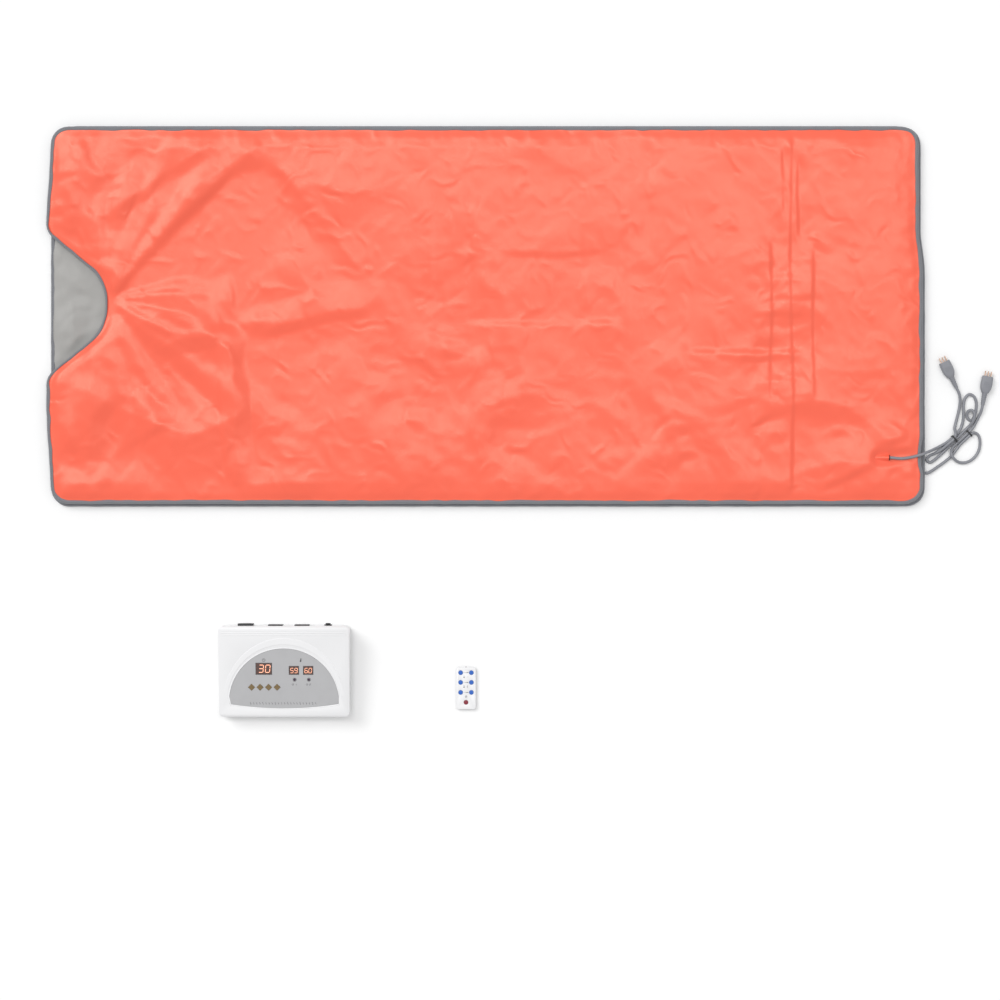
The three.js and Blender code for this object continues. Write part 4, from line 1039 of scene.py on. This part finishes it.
segments = {"top": ((-1, 2), (1, 2)), "middle": ((-1, 0), (1, 0)), "bottom": ((-1, -2), (1, -2)),
            "upper left": ((-1, 0), (-1, 2)), "upper right": ((1, 0), (1, 2)),
            "lower left": ((-1, -2), (-1, 0)), "lower right": ((1, -2), (1, 0))}
lit = {"0": "top,bottom,upper left,upper right,lower left,lower right",
       "1": "upper right,lower right", "2": "top,upper right,middle,lower left,bottom",
       "3": "top,upper right,middle,lower right,bottom", "5": "top,upper left,middle,lower right,bottom",
       "6": "top,upper left,middle,lower left,lower right,bottom",
       "9": "top,upper left,upper right,middle,lower right,bottom"}


def digit(shape, figure, cu, cv, height, thick, low=mark_low, high=mark_high):
    """A seven-segment figure that leans a little to the right."""
    half, quarter = 0.27 * height, height / 4 - thick / 4
    for name in lit[figure].split(","):
        ends = []
        for k, (a, b) in enumerate(segments[name]):
            u, v = a * half, b * quarter
            other_u, other_v = segments[name][1 - k]
            u += 0.62 * thick * np.sign(other_u - a)
            v += 0.62 * thick * np.sign(other_v - b)
            ends.append((cu + u + 0.10 * v, cv + v))
        face_bar(shape, *ends, thick, low, high)


glow, glow_shader = new_material("lit segment", (1.0, 0.42, 0.25), 0.4)
glow_shader.inputs["Emission Color"].default_value = (1.0, 0.30, 0.15, 1.0)
glow_shader.inputs["Emission Strength"].default_value = 1.1
glow_tree = glow.node_tree
flicker = add_node(glow_tree, "ShaderNodeTexNoise", Scale=900.0)
flicker_tone = add_node(glow_tree, "ShaderNodeValToRGB")
flicker_tone.color_ramp.elements[0].color = (1.0, 0.40, 0.24, 1.0)
flicker_tone.color_ramp.elements[1].color = (1.0, 0.58, 0.42, 1.0)
glow_place = add_node(glow_tree, "ShaderNodeTexCoord")
wire(glow_tree, glow_place, "Object", flicker, "Vector")
wire(glow_tree, flicker, "Fac", flicker_tone, "Fac")
wire(glow_tree, flicker_tone, "Color", glow_shader, "Emission Color")
shape = bmesh.new()
for figure, cu, cv, height in (("3", -0.0459, 0.0065, 0.0163), ("0", -0.0324, 0.0065, 0.0163),
                               ("5", 0.0166, 0.0027, 0.0104), ("9", 0.0248, 0.0027, 0.0104),
                               ("6", 0.0456, 0.0027, 0.0104), ("0", 0.0538, 0.0027, 0.0104)):
    digit(shape, figure, cu, cv, height, 0.075 * height)
shape.transform(on_face)
finish_piece(make_piece("display_figures", shape, sharp=30), "controller", glow)

def strokes(shape, cu, cv, width, lines, low=mark_low, high=mark_high):
    """Straight strokes, each from (u, v) to (u, v), round a centre."""
    for au, av, bu, bv in lines:
        face_bar(shape, (cu + au, cv + av), (cu + bu, cv + bv), width, low, high)


shape = bmesh.new()
clock_u, clock_v = -0.0405, 0.0242
ring_mark(shape, clock_u, clock_v, 0.0030, 0.0006)
strokes(shape, clock_u, clock_v, 0.0006, ((0, -0.0003, 0, 0.0020), (-0.0003, 0, 0.0016, 0)))
bulb_u, bulb_v = 0.0345, 0.0222
ring_mark(shape, bulb_u, bulb_v, 0.0009, 0.0017)
strokes(shape, bulb_u, bulb_v, 0.0011, ((0, 0, 0, 0.0056),))
strokes(shape, bulb_u, bulb_v, 0.0005,
        ((0.0012, tick, 0.0026, tick) for tick in (0.0022, 0.0036, 0.0050)))
for figure, cu in (("1", 0.0219), ("2", 0.0509)):
    ring_mark(shape, cu - 0.0036, -0.0262, 0.0016, 0.0005)
    digit(shape, figure, cu + 0.0022, -0.0262, 0.0042, 0.0006)
    ring_mark(shape, cu, -0.0162, 0.0037, 0.0005)
for number in range(22):
    wave_mark(shape, -0.0680 + number * 0.0063, -0.0652, 0.0040 if number % 4 else 0.0052, 0.0006)
for cu, cv, wide, tall in ((-0.0405, 0.0063, 0.0316, 0.0228), (0.0207, 0.003, 0.019, 0.0164),
                           (0.0497, 0.003, 0.019, 0.0164)):
    w, h = wide / 2 + 0.0007, tall / 2 + 0.0007
    strokes(shape, cu, cv, 0.0005, ((-w, -h, w, -h), (w, -h, w, h), (w, h, -w, h), (-w, h, -w, -h)))
shape.transform(on_face)
finish_piece(make_piece("fascia_marks", shape, sharp=30), "controller", ink)


# ---- controller keys -------------------------------------------------------------------------
# Four diamond keys with a bronze frame round a paler printed middle. The pictures are start
# and stop, up, down and settings.
bronze = moulded("bronze key frame", (0.235, 0.165, 0.080), 0.38, metallic=0.35, scale=1500.0,
                 depth=0.00003)
key_middle = moulded("key middle", (0.36, 0.30, 0.20), 0.45, scale=1500.0, depth=0.00002)
key_side, key_pitch, key_u, key_v = 0.0097, 0.0173, -0.0657, -0.0318
key_top, key_low = fascia_top + 0.0009, -0.0077


def key_picture(shape, name, cu, cv, low, high):
    if name == "start_stop_key":
        ring_mark(shape, cu, cv, 0.0019, 0.0005, 120, 300, low, high)
        face_bar(shape, (cu, cv), (cu, cv + 0.0026), 0.0005, low, high)
    elif name in ("up_key", "down_key"):
        way = 1 if name == "up_key" else -1
        for step in range(5):
            half, rise = 0.0021 - 0.00045 * step, way * (0.00052 * step - 0.0012)
            face_bar(shape, (cu - half, cv + rise), (cu + half, cv + rise), 0.00055, low, high)
    else:
        face_bar(shape, (cu - 0.0015, cv - 0.0017), (cu + 0.0006, cv + 0.0006), 0.0009, low, high)
        ring_mark(shape, cu + 0.0012, cv + 0.0012, 0.0009, 0.0006, 90, 270, low, high)


for number, key in enumerate(("start_stop_key", "up_key", "down_key", "mode_key")):
    spot = Vector((key_u + number * key_pitch, key_v, 0))
    shape = bmesh.new()
    bmesh.ops.create_cube(shape, size=1.0, matrix=Matrix.Translation((*spot.xy, (key_top + key_low) / 2))
                          @ Matrix.Rotation(math.pi / 4, 4, "Z")
                          @ Matrix.Diagonal((key_side, key_side, key_top - key_low, 1.0)))
    crown = [e for e in shape.edges if all(v.co.z > 0 for v in e.verts)]
    bmesh.ops.bevel(shape, geom=crown, offset=0.0006, offset_type="OFFSET", segments=3, profile=0.5,
                    affect="EDGES", material=-1)
    top_face = max(shape.faces, key=lambda f: f.normal.z * f.calc_area())
    bmesh.ops.inset_individual(shape, faces=[top_face], thickness=0.0009, depth=-0.0001)
    top_face.material_index = 1
    known = set(shape.faces)
    key_picture(shape, key, *spot.xy, key_top - 0.0003, key_top + 0.00002)
    for face in shape.faces:
        if face not in known:
            face.material_index = 2
    shape.transform(on_face)
    piece = make_piece(f"{key}_cap", shape, sharp=35)
    finish_piece(piece, key, bronze, [key])
    piece.data.materials.append(key_middle)
    piece.data.materials.append(ink)


# ---- controller rear and feet ----------------------------------------------------------------
# Mains inlet, two output sockets and a fuse under a turning cap stand in the rear wall; rubber
# feet under the base keep the case from sliding.
rubber = moulded("rubber foot", (0.030, 0.030, 0.032), 0.85, scale=1200.0, depth=0.00008, mottling=0.2)
for node, ease in (("mains_inlet", 0.0005), ("output_socket_1", 0.0004),
                   ("output_socket_2", 0.0004), ("fuse_holder", 0.0004)):
    refined(node, f"{node}_moulding", "controller", black_material, ease=ease)
refined("fuse_cap", "fuse_cap_moulding", "fuse_cap", black_material, ease=0.0003)
for corner in ("front_left", "front_right", "rear_left", "rear_right"):
    refined(f"foot_{corner}", f"foot_{corner}_moulding", "controller", rubber,
            ease=0.0006)


# ---- remote ----------------------------------------------------------------------------------
# A card remote in two white shells with a grey belt, six domed blue keys and a red power key,
# and a coin cell in a tray that slides from its end.
remote_low, remote_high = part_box("remote_top")
remote_centre = ((remote_low[0] + remote_high[0]) / 2, (remote_low[1] + remote_high[1]) / 2)
belt_material = moulded("grey shell", (0.42, 0.42, 0.44), 0.45, scale=1400.0, depth=0.00003)
refined("remote_base", "remote_lower_shell", "remote", belt_material, ease=0.0005)
refined("remote_top", "remote_upper_shell", "remote", case_material, ease=0.0006)
refined("battery_tray", "battery_drawer", "battery_tray", belt_material, ease=0.0003)
refined("ir_lamp", "infrared_lens", "remote", lamp_material, ease=0.0004)

blue = moulded("blue silicone", (0.022, 0.125, 0.520), 0.42, scale=1300.0, depth=0.00004)
red = moulded("red silicone", (0.235, 0.018, 0.035), 0.42, scale=1300.0, depth=0.00004)
pale_ink = moulded("white print", (0.80, 0.82, 0.86), 0.5, scale=1500.0, depth=0.00001)
key_profile = [(0.0, 0.0), (1.0, 0.0), (1.0, 0.80), (0.96, 0.90), (0.85, 0.96), (0.5, 0.99), (0.0, 1.0)]


def remote_key(name, key_material):
    low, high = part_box(name)
    radius = (high[0] - low[0]) / 2
    cx, cy = (low[0] + high[0]) / 2, (low[1] + high[1]) / 2
    marks = np.linspace(0, 1, len(key_profile))
    radii, heights = np.array(key_profile).T

    def place(u, v):
        r = radius * np.interp(v, marks, radii)
        z = low[2] + (high[2] - low[2]) * np.interp(v, marks, heights)
        return np.column_stack([cx + r * np.cos(2 * math.pi * u), cy + r * np.sin(2 * math.pi * u), z])

    shape = skin(40, 24, place)
    known = set(shape.faces)
    top, base = high[2] + 0.00003, high[2] - 0.0004
    stroke = 0.0007
    if name == "power_key":
        ring_mark(shape, cx, cy, 0.0020, stroke, 120, 300, base, top)
        face_bar(shape, (cx, cy + 0.0002), (cx, cy + 0.0028), stroke, base, top)
    else:
        face_bar(shape, (cx - 0.0018, cy), (cx + 0.0018, cy), stroke, base, top)
        if "right" in name:
            face_bar(shape, (cx, cy - 0.0018), (cx, cy + 0.0018), stroke, base, top)
    for face in shape.faces:
        if face not in known:
            face.material_index = 1
    piece = make_piece(f"{name}_dome", shape, sharp=40)
    finish_piece(piece, name, key_material, [name])
    piece.data.materials.append(pale_ink)


remote_keys = [f"remote_key_{side}_{row}" for row in (1, 2, 3) for side in ("left", "right")]
for key in remote_keys:
    remote_key(key, blue)
remote_key("power_key", red)

shape = bmesh.new()
print_low, print_high = remote_high[2] - 0.0002, remote_high[2] + 0.00008
for row in (1, 2, 3):
    low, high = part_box(f"remote_key_left_{row}")
    row_y = (low[1] + high[1]) / 2
    for step in range(5):
        dot, dot_x = 0.00035 + 0.00012 * step, -0.0045 + 0.0021 * step
        strokes(shape, remote_centre[0], row_y, 2 * dot, ((dot_x - dot, 0, dot_x + dot, 0),),
                print_low, print_high)
    label_y = row_y - 0.0086
    if row < 3:
        bulb_x = remote_centre[0] - 0.004
        strokes(shape, bulb_x, label_y, 0.0009, ((0, -0.001, 0, 0.0024),), print_low, print_high)
        ring_mark(shape, bulb_x, label_y - 0.0014, 0.0006, 0.0012, low=print_low, high=print_high)
        digit(shape, str(row), remote_centre[0] + 0.003, label_y, 0.0036, 0.0006,
              print_low, print_high)
    else:
        ring_mark(shape, remote_centre[0], label_y, 0.0019, 0.0005, low=print_low, high=print_high)
        strokes(shape, remote_centre[0], label_y, 0.0005, ((0, 0, 0, 0.0013), (0, 0, 0.0010, 0)),
                print_low, print_high)
finish_piece(make_piece("remote_marks", shape, sharp=30), "remote", ink)


# ---- parts inside -----------------------------------------------------------------------------
# Felt, heating film, thermostats, circuit boards, transformer and cell stay as the frame has
# them and are seen only with the shells apart.
inside = {
    "felt": moulded("needled felt", (0.78, 0.75, 0.70), 0.95, scale=350.0, depth=0.0006,
                    mottling=0.25),
    "carbon_film": moulded("carbon film", (0.018, 0.018, 0.021), 0.5, scale=260.0, depth=0.00008,
                           mottling=0.35),
    "circuit_board": moulded("circuit board", (0.020, 0.130, 0.050), 0.45, scale=320.0,
                             depth=0.0001, mottling=0.4),
    "plated_steel": moulded("plated steel", (0.52, 0.53, 0.55), 0.34, metallic=1.0, scale=500.0,
                            depth=0.00003),
    "black_plastic": black_material,
}
for part in frame["record"]["subparts"]:
    if part["material_slot"] in inside and not frame["nodes"][part["node"]].hide_render:
        node = frame["nodes"][part["node"]]
        node.data.materials.clear()
        node.data.materials.append(inside[part["material_slot"]])


# ---- floor and lights ----------------------------------------------------------------------
# A plain pale floor under a large soft lamp from the head end's far side, two weaker ones near
# overhead that bring out the satin's sheen, and an even white surround, which the camera sees
# brighter than it lights.
floor_half, floor_drop = 15, 0.0002
floor = make_piece("floor", skin(4, 4, lambda u, v: np.column_stack([
    floor_half * (2 * u - 1), floor_half * (2 * v - 1), 0 * u - floor_drop])))
floor.data.materials.append(moulded("pale floor", (0.96, 0.96, 0.96), 0.9, scale=60.0, depth=0.0,
                                    mottling=0.0))

world = bpy.data.worlds.new("studio")
bpy.context.scene.world = world
world.use_nodes = True
surround = world.node_tree.nodes["Background"]
surround.inputs["Color"].default_value = (1.0, 1.0, 1.0, 1.0)
surround.inputs["Strength"].default_value = 0.62
backdrop = add_node(world.node_tree, "ShaderNodeBackground", Color=(0.97, 0.97, 0.97, 1.0))
seen = add_node(world.node_tree, "ShaderNodeLightPath")
choice = add_node(world.node_tree, "ShaderNodeMixShader")
wire(world.node_tree, seen, "Is Camera Ray", choice, 0)
wire(world.node_tree, surround, 0, choice, 1)
wire(world.node_tree, backdrop, 0, choice, 2)
wire(world.node_tree, choice, 0, world.node_tree.nodes["World Output"], "Surface")


def studio_lamp(name, lean, bearing, spread, strength):
    """A distant soft lamp that leans from overhead towards a bearing, in degrees."""
    data = bpy.data.lights.new(name, "SUN")
    data.angle = math.radians(spread)
    data.energy = strength
    lamp = bpy.data.objects.new(name, data)
    turn, tilt = math.radians(bearing), math.radians(lean)
    toward = Vector((math.cos(turn) * math.sin(tilt), math.sin(turn) * math.sin(tilt), math.cos(tilt)))
    lamp.rotation_euler = toward.to_track_quat("Z", "Y").to_euler()
    bpy.context.scene.collection.objects.link(lamp)


studio_lamp("key lamp", 42, 140, 30, 1.05)
studio_lamp("sheen lamp", 17, 118, 12, 0.38)
studio_lamp("foot end sheen lamp", 17, 35, 14, 0.30)
bpy.context.scene.view_settings.view_transform = "Standard"
